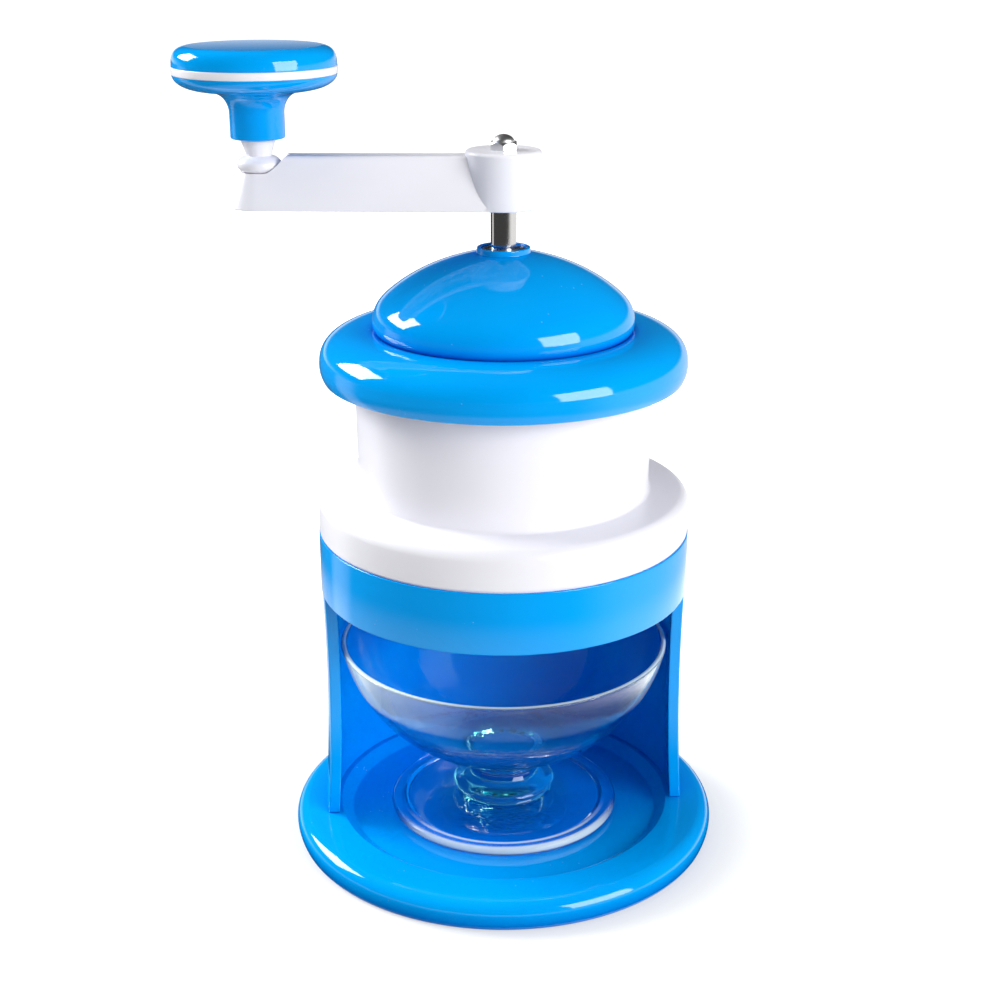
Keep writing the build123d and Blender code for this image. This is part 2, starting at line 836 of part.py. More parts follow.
# The spring pushes the presser down on the ice. Its ends are closed and lie flat.
spring_low = spring_bottom + spring_wire_radius
spring_high = spring_top - spring_wire_radius
spring_pitch = (spring_high - spring_low) / spring_turns
with BuildPart() as spring:
    with BuildLine() as spring_path:
        Helix(
            pitch=spring_pitch,
            height=spring_high - spring_low,
            radius=spring_radius,
            center=(0, 0, spring_low),
        )
    with BuildSketch(Plane(origin=spring_path.line @ 0, z_dir=spring_path.line % 0)):
        Circle(spring_wire_radius)
    sweep(path=spring_path.line, is_frenet=True)
keep(spring, "spring")

# ---- crank -----------------------------------------------------------------------------------

knob_x = arm_reach * cos(radians(crank_angle))
knob_y = arm_reach * sin(radians(crank_angle))
knob_axis = Axis((knob_x, knob_y, 0), (0, 0, 1))
knob_profile_plane = Plane(origin=(knob_x, knob_y, 0), x_dir=(1, 0, 0), z_dir=(0, -1, 0))
knob_plane = Plane(origin=(knob_x, knob_y, 0))


def arm_outline(plane, start_half, tip_half, start_x, tip_x):
    """Outline of the arm on one level: a bar that narrows towards the knob, round at its end."""
    with BuildSketch(plane) as outline:
        with BuildLine():
            Polyline((tip_x, -tip_half), (start_x, -start_half), (start_x, start_half), (tip_x, tip_half))
            ThreePointArc((tip_x, tip_half), (tip_x + tip_half, 0), (tip_x, -tip_half))
        make_face()
    return outline.sketch


def arm_half(share, low_half, high_half):
    """Half the arm's width at a share of its length from the hub to the knob."""
    return low_half + (high_half - low_half) * share


def pocket_outline(plane, hub_half, tip_half, start_x, end_x, side):
    """Outline on one level of a pocket under the arm, between its middle web and one side wall."""
    start_half = arm_half(start_x / arm_reach, hub_half, tip_half) - arm_wall
    end_half = arm_half(end_x / arm_reach, hub_half, tip_half) - arm_wall
    with BuildSketch(plane) as outline:
        with BuildLine():
            Polyline(
                (start_x, side * arm_web_thickness / 2),
                (end_x, side * arm_web_thickness / 2),
                (end_x, side * end_half),
                (start_x, side * start_half),
                (start_x, side * arm_web_thickness / 2),
            )
        make_face()
    return outline.sketch


arm_low = crank_plane.offset(arm_bottom)
arm_high = crank_plane.offset(arm_top)
pocket_high = crank_plane.offset(arm_top - arm_top_wall)
pocket_start = hub_radius + arm_wall
pocket_end = arm_reach - scoop_top_radius
pocket_pitch = (pocket_end - pocket_start + arm_rib_thickness) / arm_pocket_count
pocket_starts = [pocket_start + pocket_pitch * index for index in range(arm_pocket_count)]
pocket_length = pocket_pitch - arm_rib_thickness

# The crank arm is one moulding: a tapered bar, hollow and ribbed below, with a round hub at the
# shaft, and at its tip a scooped end with the collar, peg and spindle that the knob turns on.
with BuildPart() as crank_arm:
    add(arm_outline(arm_low, arm_foot_hub_half, arm_foot_tip_half, 0, arm_reach))
    add(arm_outline(arm_high, arm_top_hub_half, arm_top_tip_half, 0, arm_reach))
    loft()
    for start_x, side in [(start_x, side) for start_x in pocket_starts for side in (-1, 1)]:
        end_x = start_x + pocket_length
        add(pocket_outline(arm_low, arm_foot_hub_half, arm_foot_tip_half, start_x, end_x, side))
        add(pocket_outline(pocket_high, arm_top_hub_half, arm_top_tip_half, start_x, end_x, side))
        loft(mode=Mode.SUBTRACT)
    with Locations((knob_x, knob_y, peg_base)):
        Cone(
            scoop_floor_radius,
            scoop_top_radius,
            scoop_depth,
            align=(Align.CENTER, Align.CENTER, Align.MIN),
            mode=Mode.SUBTRACT,
        )
    with BuildSketch(Plane.XY.offset(arm_bottom)):
        Circle(hub_radius)
    extrude(amount=hub_height)
    hub_rim = crank_arm.edges().filter_by(GeomType.CIRCLE).group_by(Axis.Z)[-1]
    fillet(hub_rim, radius=hub_edge)
    with BuildSketch(knob_profile_plane):
        with BuildLine():
            Polyline(
                (0, peg_base - peg_root),
                (collar_foot_radius, peg_base - peg_root),
                (collar_foot_radius, peg_base),
            )
            Spline(
                (collar_foot_radius, peg_base),
                (peg_collar_radius, peg_base + peg_collar_height * peg_collar_share),
                (peg_foot_radius, peg_base + peg_collar_height),
                tangents=((1, 0.1), (-1, 0.1)),
            )
            Polyline(
                (peg_foot_radius, peg_base + peg_collar_height),
                (peg_head_radius, peg_top),
                (spindle_radius, peg_top),
                (spindle_radius, spindle_top),
                (0, spindle_top),
                (0, peg_base - peg_root),
            )
        make_face()
    revolve(axis=knob_axis)
    with BuildSketch(knob_plane.offset(spindle_top)):
        Circle(knob_screw_radius + running_clearance)
    extrude(amount=-knob_screw_bite - slip_clearance, mode=Mode.SUBTRACT)
    with BuildSketch(Plane.XY.offset(arm_bottom)):
        Circle(hub_bore_radius)
    extrude(amount=shaft_flats_start - arm_bottom, mode=Mode.SUBTRACT)
    with BuildSketch(crank_plane.offset(shaft_flats_start)):
        Circle(hub_bore_radius)
        Rectangle(shaft_flat + 2 * running_clearance, shaft_radius * 3, mode=Mode.INTERSECT)
    extrude(amount=hub_height, mode=Mode.SUBTRACT)
keep(crank_arm, "crank_arm")

# The domed nut on the hub clamps the arm on the shaft's thread.
with BuildPart() as crank_nut:
    with BuildSketch(Plane.XY.offset(hub_top)):
        RegularPolygon(nut_across_flats / 2, 6, major_radius=False, rotation=crank_angle)
    extrude(amount=nut_hex_height)
    with BuildSketch(Plane.XZ):
        with BuildLine():
            Polyline((0, hub_top + nut_height), (0, hub_top), (nut_dome_radius, hub_top))
            Line((nut_dome_radius, hub_top), (nut_dome_radius, hub_top + nut_hex_height))
            Spline(
                (nut_dome_radius, hub_top + nut_hex_height),
                (0, hub_top + nut_height),
                tangents=((0, 1), (-1, 0)),
            )
        make_face()
    revolve(axis=Axis.Z)
    with BuildSketch(Plane.XY.offset(hub_top)):
        Circle(shaft_thread_radius + running_clearance)
    extrude(amount=shaft_top - hub_top + slip_clearance, mode=Mode.SUBTRACT)
keep(crank_nut, "crank_nut")

# ---- knob ------------------------------------------------------------------------------------

washer_bottom = spindle_top
washer_top = washer_bottom + knob_washer_thickness

# The washer and its screw keep the knob on the spindle and leave it free to turn.
with BuildPart() as knob_washer:
    with BuildSketch(knob_plane.offset(washer_bottom)):
        Circle(knob_washer_radius)
        Circle(knob_screw_radius + running_clearance, mode=Mode.SUBTRACT)
    extrude(amount=knob_washer_thickness)
keep(knob_washer, "knob_washer")

with BuildPart() as knob_screw:
    with BuildSketch(knob_plane.offset(washer_top)):
        Circle(knob_screw_radius)
    extrude(amount=-knob_washer_thickness - knob_screw_bite)
    with BuildSketch(knob_plane.offset(washer_top)):
        Circle(knob_screw_head_radius)
    extrude(amount=knob_screw_head_height)
    fillet(knob_screw.edges().filter_by(GeomType.CIRCLE).group_by(Axis.Z)[-1], radius=knob_screw_edge)
    with BuildSketch(knob_plane.offset(washer_top + knob_screw_head_height)):
        Rectangle(knob_screw_slot_length, knob_screw_slot_width)
        Rectangle(knob_screw_slot_width, knob_screw_slot_length)
    extrude(amount=-knob_screw_head_height / 2, mode=Mode.SUBTRACT)
keep(knob_screw, "knob_screw")

neck_low = stem_bottom + knob_stem_height
under_high = stem_bottom + knob_under_height
shell_floor = under_high + knob_shell
band_seat = knob_lower_top - knob_band_seat

# The knob's lower shell: a straight stem that flares like a trumpet into a shallow cup.
with BuildPart() as knob_lower:
    with BuildSketch(knob_profile_plane):
        with BuildLine():
            Line((knob_bore_radius, stem_bottom), (knob_stem_radius, stem_bottom))
            Line((knob_stem_radius, stem_bottom), (knob_stem_radius, neck_low))
            Spline(
                (knob_stem_radius, neck_low),
                (knob_neck_radius, under_high),
                (knob_belly_radius, stem_bottom + knob_belly_height),
                (knob_radius, knob_lower_top),
                tangents=((0, 1), (0.05, 1)),
            )
            Polyline(
                (knob_radius, knob_lower_top),
                (knob_radius - knob_shell, knob_lower_top),
                (knob_radius - knob_shell, band_seat - slip_clearance),
                (knob_radius - knob_shell - knob_cup_draft, shell_floor + knob_cup_rise),
                (knob_belly_radius - knob_cup_inset, shell_floor),
                (knob_bore_radius, shell_floor),
                (knob_bore_radius, stem_bottom),
            )
        make_face()
    revolve(axis=knob_axis)
keep(knob_lower, "knob_lower")

# The white band is a ring trapped between the two shells.
with BuildPart() as knob_band:
    with BuildSketch(knob_plane.offset(knob_lower_top)):
        Circle(knob_radius + knob_band_step)
        Circle(knob_radius - knob_shell, mode=Mode.SUBTRACT)
    extrude(amount=knob_band_height)
    fillet(knob_band.edges().filter_by(GeomType.CIRCLE).group_by(SortBy.RADIUS)[-1], radius=knob_band_edge)
keep(knob_band, "knob_band")

# The cap closes the knob. Its rim plugs into the band and the lower shell.
plug_radius = knob_radius - knob_shell - running_clearance
with BuildPart() as knob_cap:
    with BuildSketch(knob_profile_plane):
        with BuildLine():
            Polyline((plug_radius, knob_band_top), (knob_radius, knob_band_top))
            Spline(
                (knob_radius, knob_band_top),
                (knob_radius - knob_shoulder_inset, knob_band_top + knob_shoulder_rise),
                (knob_top_radius, knob_top),
                tangents=((0, 1), (-1, 0)),
            )
            Polyline(
                (knob_top_radius, knob_top),
                (0, knob_top),
                (0, knob_top - knob_cap_skin),
                (knob_top_radius - knob_cap_inset, knob_top - knob_cap_skin),
                (plug_radius - knob_plug_wall, knob_band_top - knob_cap_step),
                (plug_radius - knob_plug_wall, band_seat),
                (plug_radius, band_seat),
                (plug_radius, knob_band_top),
            )
        make_face()
    revolve(axis=knob_axis)
keep(knob_cap, "knob_cap")

# ---- bowl ------------------------------------------------------------------------------------

bowl_rim = bowl_floor + bowl_height
bowl_side = bowl_floor + bowl_side_height
bowl_belly = bowl_floor + bowl_belly_height
bowl_neck_radius = bowl_belly_radius - bowl_neck_width
bowl_neck_height = bowl_belly - bowl_neck_fall
knot_middle = bowl_floor + bowl_knot_height
ring_middle_radius = bowl_foot_radius - bowl_foot_ring_height / 2
ring_inner_radius = bowl_foot_radius - bowl_foot_ring_width

# The clear bowl is a deep dish on a short stem. The stem swells to a knot above a round foot
# with a rolled ring, which stands in the base's recess.
with BuildPart() as bowl:
    with BuildSketch(Plane.XZ):
        with BuildLine():
            Line((0, bowl_floor + bowl_foot_plate), (ring_inner_radius, bowl_floor + bowl_foot_plate))
            Spline(
                (ring_inner_radius, bowl_floor + bowl_foot_plate),
                (ring_middle_radius, bowl_floor),
                tangents=((0.5, -1), (1, 0)),
            )
            ThreePointArc(
                (ring_middle_radius, bowl_floor),
                (bowl_foot_radius, bowl_floor + bowl_foot_ring_height / 2),
                (ring_middle_radius, bowl_floor + bowl_foot_ring_height),
            )
            Spline(
                (ring_middle_radius, bowl_floor + bowl_foot_ring_height),
                (ring_inner_radius - bowl_foot_ease, bowl_floor + bowl_foot_plate * 2),
                (bowl_knot_radius + bowl_knot_root, knot_middle - bowl_knot_thickness * 1.1),
                (bowl_knot_radius - bowl_knot_neck, knot_middle - bowl_knot_thickness / 2),
                tangents=((-1, -0.25), (0.2, 1)),
            )
            Spline(
                (bowl_knot_radius - bowl_knot_neck, knot_middle - bowl_knot_thickness / 2),
                (bowl_knot_radius, knot_middle),
                (bowl_stem_radius, knot_middle + bowl_knot_thickness * 1.6),
                (bowl_neck_radius, bowl_neck_height),
                tangents=((0.5, 1), (1, 0.35)),
            )
            Line((bowl_neck_radius, bowl_neck_height), (bowl_belly_radius, bowl_belly))
            ThreePointArc(
                (bowl_belly_radius, bowl_belly),
                (bowl_side_radius, bowl_side),
                (bowl_rim_radius, bowl_rim - bowl_rim_bead / 2),
            )
            ThreePointArc(
                (bowl_rim_radius, bowl_rim - bowl_rim_bead / 2),
                (bowl_rim_radius - bowl_wall / 2, bowl_rim),
                (bowl_rim_radius - bowl_wall, bowl_rim - bowl_rim_bead / 2),
            )
            ThreePointArc(
                (bowl_rim_radius - bowl_wall, bowl_rim - bowl_rim_bead / 2),
                (bowl_side_radius - bowl_wall * 0.75, bowl_side + bowl_wall * 0.65),
                (bowl_belly_radius, bowl_belly + bowl_wall * 1.2),
            )
            Spline(
                (bowl_belly_radius, bowl_belly + bowl_wall * 1.2),
                (0, bowl_belly),
                tangents=((-1, -0.5), (-1, 0)),
            )
            Line((0, bowl_belly), (0, bowl_floor + bowl_foot_plate))
        make_face()
    revolve(axis=Axis.Z)
keep(bowl, "bowl")
print(len(finished), "pieces:", ", ".join(finished))
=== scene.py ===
"""Hand cranked ice shaver in blue and white plastic, with its clear serving bowl.

Millimetres are turned into metres where a mesh is made. +Z is up, and the stand opens towards -Y.
"""

from math import acos, asin, atan2, cos, hypot, pi, radians, sin, tan

import bmesh
import bpy
import numpy as np
from mathutils import Matrix, Vector


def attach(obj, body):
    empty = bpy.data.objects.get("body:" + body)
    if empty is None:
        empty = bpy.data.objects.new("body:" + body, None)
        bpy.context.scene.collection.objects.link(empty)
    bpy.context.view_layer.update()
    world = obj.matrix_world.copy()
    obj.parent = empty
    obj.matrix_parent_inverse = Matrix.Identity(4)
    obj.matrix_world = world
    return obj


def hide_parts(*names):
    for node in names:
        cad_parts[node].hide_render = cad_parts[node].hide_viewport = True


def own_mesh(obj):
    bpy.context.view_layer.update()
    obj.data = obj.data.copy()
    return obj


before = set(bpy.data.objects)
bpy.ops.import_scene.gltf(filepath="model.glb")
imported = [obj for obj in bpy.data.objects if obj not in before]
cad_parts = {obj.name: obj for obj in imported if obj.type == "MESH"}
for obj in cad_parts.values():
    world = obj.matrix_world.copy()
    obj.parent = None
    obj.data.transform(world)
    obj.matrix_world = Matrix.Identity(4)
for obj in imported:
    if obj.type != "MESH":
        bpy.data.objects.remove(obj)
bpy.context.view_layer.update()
scene = bpy.context.scene

# ---- base ------------------------------------------------------------------------------------
# A round tray moulded in glossy blue polypropylene, open below like a lid. Its rim rolls over to
# the table, and a shallow round recess in its top holds the bowl's foot.

mm = 0.001
blue = (0.0, 0.36, 0.90, 1.0)
blue_deep = (0.0, 0.34, 0.87, 1.0)
# Painted shade: the blue deepens to this colour in hollows, creases and inside the wall.
blue_painted_shade = (0.0, 0.15, 0.68, 1.0)


class Wire:
    """One output of a node. Arithmetic on wires adds the nodes that work it out."""

    def __init__(self, finish, socket):
        self.finish = finish
        self.socket = socket

    def maths(self, operation, *values):
        return self.finish.node(
            "ShaderNodeMath", {"operation": operation}, dict(enumerate(values))
        )

    def __add__(self, other):
        return self.maths("ADD", self, other)

    def __radd__(self, other):
        return self.maths("ADD", other, self)

    def __sub__(self, other):
        return self.maths("SUBTRACT", self, other)

    def __rsub__(self, other):
        return self.maths("SUBTRACT", other, self)

    def __mul__(self, other):
        return self.maths("MULTIPLY", self, other)

    def __rmul__(self, other):
        return self.maths("MULTIPLY", other, self)

    def __gt__(self, other):
        return self.maths("GREATER_THAN", self, other)

    def __lt__(self, other):
        return self.maths("LESS_THAN", self, other)


class Finish:
    """A material, or the world, with its nodes."""

    def __init__(self, name, owner=None):
        self.material = owner or bpy.data.materials.new(name)
        self.material.use_nodes = True
        self.tree = self.material.node_tree
        self.tree.nodes.clear()

    def node(self, kind, settings=None, inputs=None, output=0):
        """Adds a node: its settings first, then the values or wires of its sockets."""
        added = self.tree.nodes.new(kind)
        for key, value in (settings or {}).items():
            setattr(added, key, value)
        for key, value in (inputs or {}).items():
            if isinstance(value, Wire):
                self.tree.links.new(value.socket, added.inputs[key])
            else:
                added.inputs[key].default_value = value
        return Wire(self, added.outputs[output])

    def ray(self, question):
        """What Light Path says of the ray that meets the surface."""
        return self.node("ShaderNodeLightPath", output=question)

    def along(self, place, axis):
        """How far a place lies along X, Y or Z."""
        return self.node("ShaderNodeSeparateXYZ", None, {0: place}, output=axis)

    def vectors(self, operation, *values, output="Value"):
        """Maths on places and directions."""
        return self.node(
            "ShaderNodeVectorMath", {"operation": operation}, dict(enumerate(values)), output
        )

    def noise(self, place, scale, detail=2.0, rough=0.5, stretch=None):
        """Soft random values from 0 to 1 at a place. The scale counts features in a metre."""
        if stretch:
            place = self.node(
                "ShaderNodeMapping", None, {"Vector": place, "Scale": stretch}
            )
        return self.node(
            "ShaderNodeTexNoise",
            None,
            {"Vector": place, "Scale": scale, "Detail": detail, "Roughness": rough},
        )

    def between(self, value, low, high, low_out=0.0, high_out=1.0):
        """Runs a value from low to high over to another range, smoothly."""
        return self.node(
            "ShaderNodeMapRange",
            {"interpolation_type": "SMOOTHSTEP"},
            {
                "Value": value,
                "From Min": low,
                "From Max": high,
                "To Min": low_out,
                "To Max": high_out,
            },
        )

    def blend(self, share, first, second):
        """A colour between two colours."""
        return self.node(
            "ShaderNodeMix",
            {"data_type": "RGBA"},
            {0: share, 6: first, 7: second},
            output=2,
        )

    def show(self, shader):
        end = self.tree.nodes.new("ShaderNodeOutputMaterial")
        self.tree.links.new(shader.socket, end.inputs[0])
        return self.material


def moulded(name, shade, other_shade, gloss, level, peel, hollow=None):
    """Injection moulded plastic: flow shades, orange peel, hairline scratches and a little dust.

    Where a hollow colour is given, shade is painted: the colour deepens towards it in the places
    that little light reaches.
    """
    finish = Finish(name)
    place = finish.node("ShaderNodeTexCoord", output="Object")
    flow = finish.between(finish.noise(place, 18, 3.0), 0.35, 0.65)
    colour = finish.blend(flow, shade, other_shade)
    # Painted shade: where ambient occlusion finds little open space, the colour deepens towards
    # the hollow colour.
    if hollow:
        open_share = finish.node(
            "ShaderNodeAmbientOcclusion", {"samples": 4}, {"Distance": 0.05}, output="AO"
        )
        colour = finish.blend(finish.between(open_share, 0.62, 0.2), colour, hollow)
    long_marks = finish.noise(place, 1.0, 1.0, stretch=(260, 34, 900))
    cross_marks = finish.noise(place, 1.0, 1.0, stretch=(30, 420, 260))
    scratches = finish.between(long_marks, 0.70, 0.76) + finish.between(
        cross_marks, 0.71, 0.77
    )
    dust = finish.node(
        "ShaderNodeTexVoronoi", None, {"Vector": place, "Scale": 420.0}
    )
    specks = finish.between(dust, 0.10, 0.05) * finish.between(
        finish.noise(place, 60, 1.0), 0.60, 0.66
    )
    colour = finish.blend(specks * 0.16, colour, (0.86, 0.90, 0.94, 1))
    haze_and_painted_sheen = finish.noise(place, 55, 4.0, 0.6)
    roughness = gloss + 0.03 * haze_and_painted_sheen + 0.06 * scratches + 0.25 * specks
    height = finish.noise(place, 260, 2.0) * peel + scratches * -0.0004 + specks * 0.006
    normal = finish.node(
        "ShaderNodeBump", None, {"Strength": 1.0, "Distance": mm, "Height": height}
    )
    return finish.show(
        finish.node(
            "ShaderNodeBsdfPrincipled",
            None,
            {
                "Base Color": colour,
                "Roughness": roughness,
                "Normal": normal,
                "Specular IOR Level": level,
            },
        )
    )


blue_finish = moulded(
    "blue_moulded", blue, blue_deep, gloss=0.045, level=0.5, peel=0.0015, hollow=blue_painted_shade
)


def arc(start, middle, end, steps=14):
    """Points on the circle that runs from start through middle to end."""
    (ax, ay), (bx, by), (cx, cy) = start, middle, end
    square = [x * x + y * y for x, y in (start, middle, end)]
    double = 2 * (ax * (by - cy) + bx * (cy - ay) + cx * (ay - by))
    x = (square[0] * (by - cy) + square[1] * (cy - ay) + square[2] * (ay - by)) / double
    y = (square[0] * (cx - bx) + square[1] * (ax - cx) + square[2] * (bx - ax)) / double
    size = hypot(ax - x, ay - y)
    first, mid, last = (atan2(py - y, px - x) for px, py in (start, middle, end))
    turn = (last - first) % (2 * pi)
    if (mid - first) % (2 * pi) > turn:
        turn -= 2 * pi
    return [
        (x + size * cos(first + turn * i / steps), y + size * sin(first + turn * i / steps))
        for i in range(steps + 1)
    ]


def curve(points, leave, arrive, steps=12, pull=(1.0, 1.0)):
    """Points of a smooth curve through all the given ones, with its end directions given."""
    at = np.array(points, float)
    spans = np.hypot(*np.diff(at, axis=0).T)
    count = len(at)
    system = np.eye(count)
    known = np.zeros((count, 2))
    known[0] = np.array(leave) / np.hypot(*leave) * pull[0]
    known[-1] = np.array(arrive) / np.hypot(*arrive) * pull[1]
    for i in range(1, count - 1):
        before, after = spans[i - 1], spans[i]
        system[i, i - 1 : i + 2] = after, 2 * (before + after), before
        known[i] = 3 * (
            (at[i] - at[i - 1]) * after / before + (at[i + 1] - at[i]) * before / after
        )
    slopes = np.linalg.solve(system, known)
    made = []
    for i, span in enumerate(spans):
        for t in np.linspace(0, 1, steps + 1)[: None if i == count - 2 else -1]:
            made.append(
                tuple(
                    (2 * t**3 - 3 * t**2 + 1) * at[i]
                    + (t**3 - 2 * t**2 + t) * span * slopes[i]
                    + (3 * t**2 - 2 * t**3) * at[i + 1]
                    + (t**3 - t**2) * span * slopes[i + 1]
                )
            )
    return made


def eased(corners, steps=5):
    """Straight lines between corners given as radius, height and rounding."""
    made = []
    for i, (x, y, size) in enumerate(corners):
        if not size or i in (0, len(corners) - 1):
            made.append((x, y))
            continue
        here = Vector((x, y))
        back = (Vector(corners[i - 1][:2]) - here).normalized()
        on = (Vector(corners[i + 1][:2]) - here).normalized()
        half = acos(max(-1, min(1, back.dot(on)))) / 2
        reach = size / tan(half)
        middle = here + (back + on).normalized() * (size / sin(half))
        start, end = here + back * reach, here + on * reach
        first = atan2(start.y - middle.y, start.x - middle.x)
        turn = atan2(end.y - middle.y, end.x - middle.x) - first
        turn = (turn + pi) % (2 * pi) - pi
        made += [
            (
                middle.x + size * cos(first + turn * k / steps),
                middle.y + size * sin(first + turn * k / steps),
            )
            for k in range(steps + 1)
        ]
    return made


def placed(name, mesh, finish, crease=32):
    """Puts a finished mesh into the scene, smooth except at its sharp edges."""
    mesh.materials.append(finish)
    mesh.shade_smooth()
    mesh.set_sharp_from_angle(angle=radians(crease))
    piece = bpy.data.objects.new(name, mesh)
    scene.collection.objects.link(piece)
    return piece


def ring_mesh(work, outline, centre=(0, 0), steps=192):
    """Adds to a bmesh the solid that an outline sweeps when it turns about an upright line."""
    points = [outline[0]]
    for point in outline[1:]:
        if hypot(point[0] - points[-1][0], point[1] - points[-1][1]) > 1e-4:
            points.append(point)
    closed = hypot(points[0][0] - points[-1][0], points[0][1] - points[-1][1]) < 1e-3
    if closed:
        points.pop()
    rings = []
    for radius, height in points:
        if radius < 1e-6:
            rings.append([work.verts.new(tuple(Vector((*centre, height)) * mm))])
            continue
        rings.append(
            [
                work.verts.new(
                    (
                        (centre[0] + radius * cos(2 * pi * k / steps)) * mm,
                        (centre[1] + radius * sin(2 * pi * k / steps)) * mm,
                        height * mm,
                    )
                )
                for k in range(steps)
            ]
        )
    pairs = list(zip(rings, rings[1:]))
    if closed:
        pairs.append((rings[-1], rings[0]))
    for low, high in pairs:
        for k in range(steps):
            following = (k + 1) % steps
            if len(low) == 1 and len(high) == 1:
                continue
            if len(low) == 1:
                work.faces.new((low[0], high[following], high[k]))
            elif len(high) == 1:
                work.faces.new((low[k], low[following], high[0]))
            else:
                work.faces.new((low[k], low[following], high[following], high[k]))


def solid(work, name):
    """Turns a bmesh into a mesh with its faces looking outwards."""
    bmesh.ops.recalc_face_normals(work, faces=work.faces)
    mesh = bpy.data.meshes.new(name)
    work.to_mesh(mesh)
    work.free()
    return mesh


def turned(name, outline, finish, centre=(0, 0), steps=192):
    """A piece that is round about an upright line."""
    work = bmesh.new()
    ring_mesh(work, outline, centre, steps)
    return placed(name, solid(work, name), finish)


def fitted(piece, body, nodes):
    """Hands a finished piece to the frame: the body that carries it, and the frame's solids that
    it replaces, which are hidden.
    """
    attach(piece, body)
    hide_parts(*nodes)


base_top = 9.55
recess_floor = 6.65
base_outline = (
    eased(
        [
            (0, recess_floor, 0),
            (52.0, recess_floor, 1.6),
            (55.8, base_top, 0.7),
            (64.0, base_top, 0),
        ]
    )
    + arc((66.85, base_top), (70.2, 7.7), (71.1, 4.8), 20)
    + curve([(71.1, 4.8), (70.0, 0.4)], (0, -1), (-0.5, -1), 10)
    + eased(
        [
            (70.0, 0.4, 0),
            (67.6, 0.4, 0.3),
            (67.6, 2.8, 0.3),
            (66.4, 7.15, 0.8),
            (56.8, 7.15, 0.8),
            (53.0, 4.25, 0.8),
            (0, 4.25, 0),
        ]
    )
)
base = turned("tray", base_outline, blue_finish, steps=256)
fitted(base, "stand", ["base"])

# ---- under the base --------------------------------------------------------------------------
# A thin blue plate closes the base from below, held by four countersunk screws that run up into
# the wall. A soft grey pad with ring grooves keeps the shaver from sliding on the table.


def rubber(name, shade):
    """Matt soft rubber with a fine cast grain and a little lint."""
    finish = Finish(name)
    place = finish.node("ShaderNodeTexCoord", output="Object")
    grain = finish.noise(place, 2200, 3.0, 0.7)
    dirt = finish.between(finish.noise(place, 70, 4.0, 0.65), 0.45, 0.75)
    colour = finish.blend(dirt * 0.5, shade, tuple(c * 1.7 for c in shade[:3]) + (1,))
    normal = finish.node(
        "ShaderNodeBump",
        None,
        {"Strength": 0.6, "Distance": 0.0002, "Height": grain},
    )
    return finish.show(
        finish.node(
            "ShaderNodeBsdfPrincipled",
            None,
            {
                "Base Color": colour,
                "Roughness": 0.62 + 0.2 * grain,
                "Normal": normal,
                "Specular IOR Level": 0.4,
            },
        )
    )


def metal(name, shade, gloss, stretch, marks, stain=0.12):
    """Bare or plated metal with fine marks that run one way, and faint stains."""
    finish = Finish(name)
    place = finish.node("ShaderNodeTexCoord", output="Object")
    grain = finish.noise(place, 1.0, 3.0, 0.65, stretch=stretch)
    clouds = finish.between(finish.noise(place, 160, 4.0, 0.6), 0.4, 0.75)
    darker = tuple(c * 0.72 for c in shade[:3]) + (1,)
    colour = finish.blend(clouds * stain + grain * 0.10, shade, darker)
    edges = finish.node("ShaderNodeBevel", {"samples": 4}, {"Radius": 0.00015})
    normal = finish.node(
        "ShaderNodeBump",
        None,
        {"Strength": 1.0, "Distance": mm, "Height": grain * marks, "Normal": edges},
    )
    return finish.show(
        finish.node(
            "ShaderNodeBsdfPrincipled",
            None,
            {
                "Base Color": colour,
                "Metallic": 1.0,
                "Roughness": gloss + 0.10 * grain + 0.12 * clouds,
                "Normal": normal,
            },
        )
    )


pad_finish = rubber("grip_rubber", (0.075, 0.08, 0.085, 1))
screw_finish = metal(
    "screw_zinc", (0.62, 0.63, 0.65, 1), gloss=0.24, stretch=(900, 900, 900), marks=0.004
)

pad_corners = [(0, 1.2, 0), (52.0, 1.2, 0.3), (52.0, 0, 0.3)]
for groove in range(5, 0, -1):
    inner, outer = 8.0 * groove, 8.0 * groove + 1.2
    pad_corners += [(outer, 0, 0.15), (outer, 0.4, 0.1), (inner, 0.4, 0.1), (inner, 0, 0.15)]
pad_corners.append((0, 0, 0))
pad = turned("foot_pad", eased(pad_corners, 3), pad_finish)
fitted(pad, "stand", ["grip_pad"])


def finished(node, finish):
    """Gives one of the frame's own solids its finish."""
    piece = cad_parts[node]
    piece.data.materials.clear()
    piece.data.materials.append(finish)


finished("bottom_plate", blue_finish)


def joined(name, outlines, finish, steps=24):
    """Several small turned pieces in one mesh, each an outline and a centre."""
    work = bmesh.new()
    for outline, centre in outlines:
        ring_mesh(work, outline, centre, steps)
    return placed(name, solid(work, name), finish)


def cut(piece, work, name, how="DIFFERENCE"):
    """Cuts a bmesh away from a piece, joins it to the piece or keeps what they share."""
    tool = bpy.data.objects.new(name, solid(work, name))
    scene.collection.objects.link(tool)
    step = piece.modifiers.new(name, "BOOLEAN")
    step.operation = how
    step.solver = "EXACT"
    step.object = tool
    bpy.context.view_layer.update()
    graph = bpy.context.evaluated_depsgraph_get()
    result = bpy.data.meshes.new_from_object(piece.evaluated_get(graph))
    piece.modifiers.clear()
    piece.data = result
    bpy.data.objects.remove(tool)
    return piece


def block(work, low, high, turn=0.0, centre=(0, 0)):
    """Adds a brick between two corners, turned about an upright line."""
    made = bmesh.ops.create_cube(work, size=1.0)["verts"]
    size = Vector(high) - Vector(low)
    middle = (Vector(high) + Vector(low)) / 2
    for vertex in made:
        local = Vector([c * s for c, s in zip(vertex.co, size)]) + middle
        local.rotate(Matrix.Rotation(turn, 3, "Z"))
        vertex.co = (local + Vector((*centre, 0))) * mm
    return made


def around(radius, start, step, count):
    """Places on a circle about the shaver's axis."""
    return [
        (radius * cos(radians(start + step * i)), radius * sin(radians(start + step * i)))
        for i in range(count)
    ]


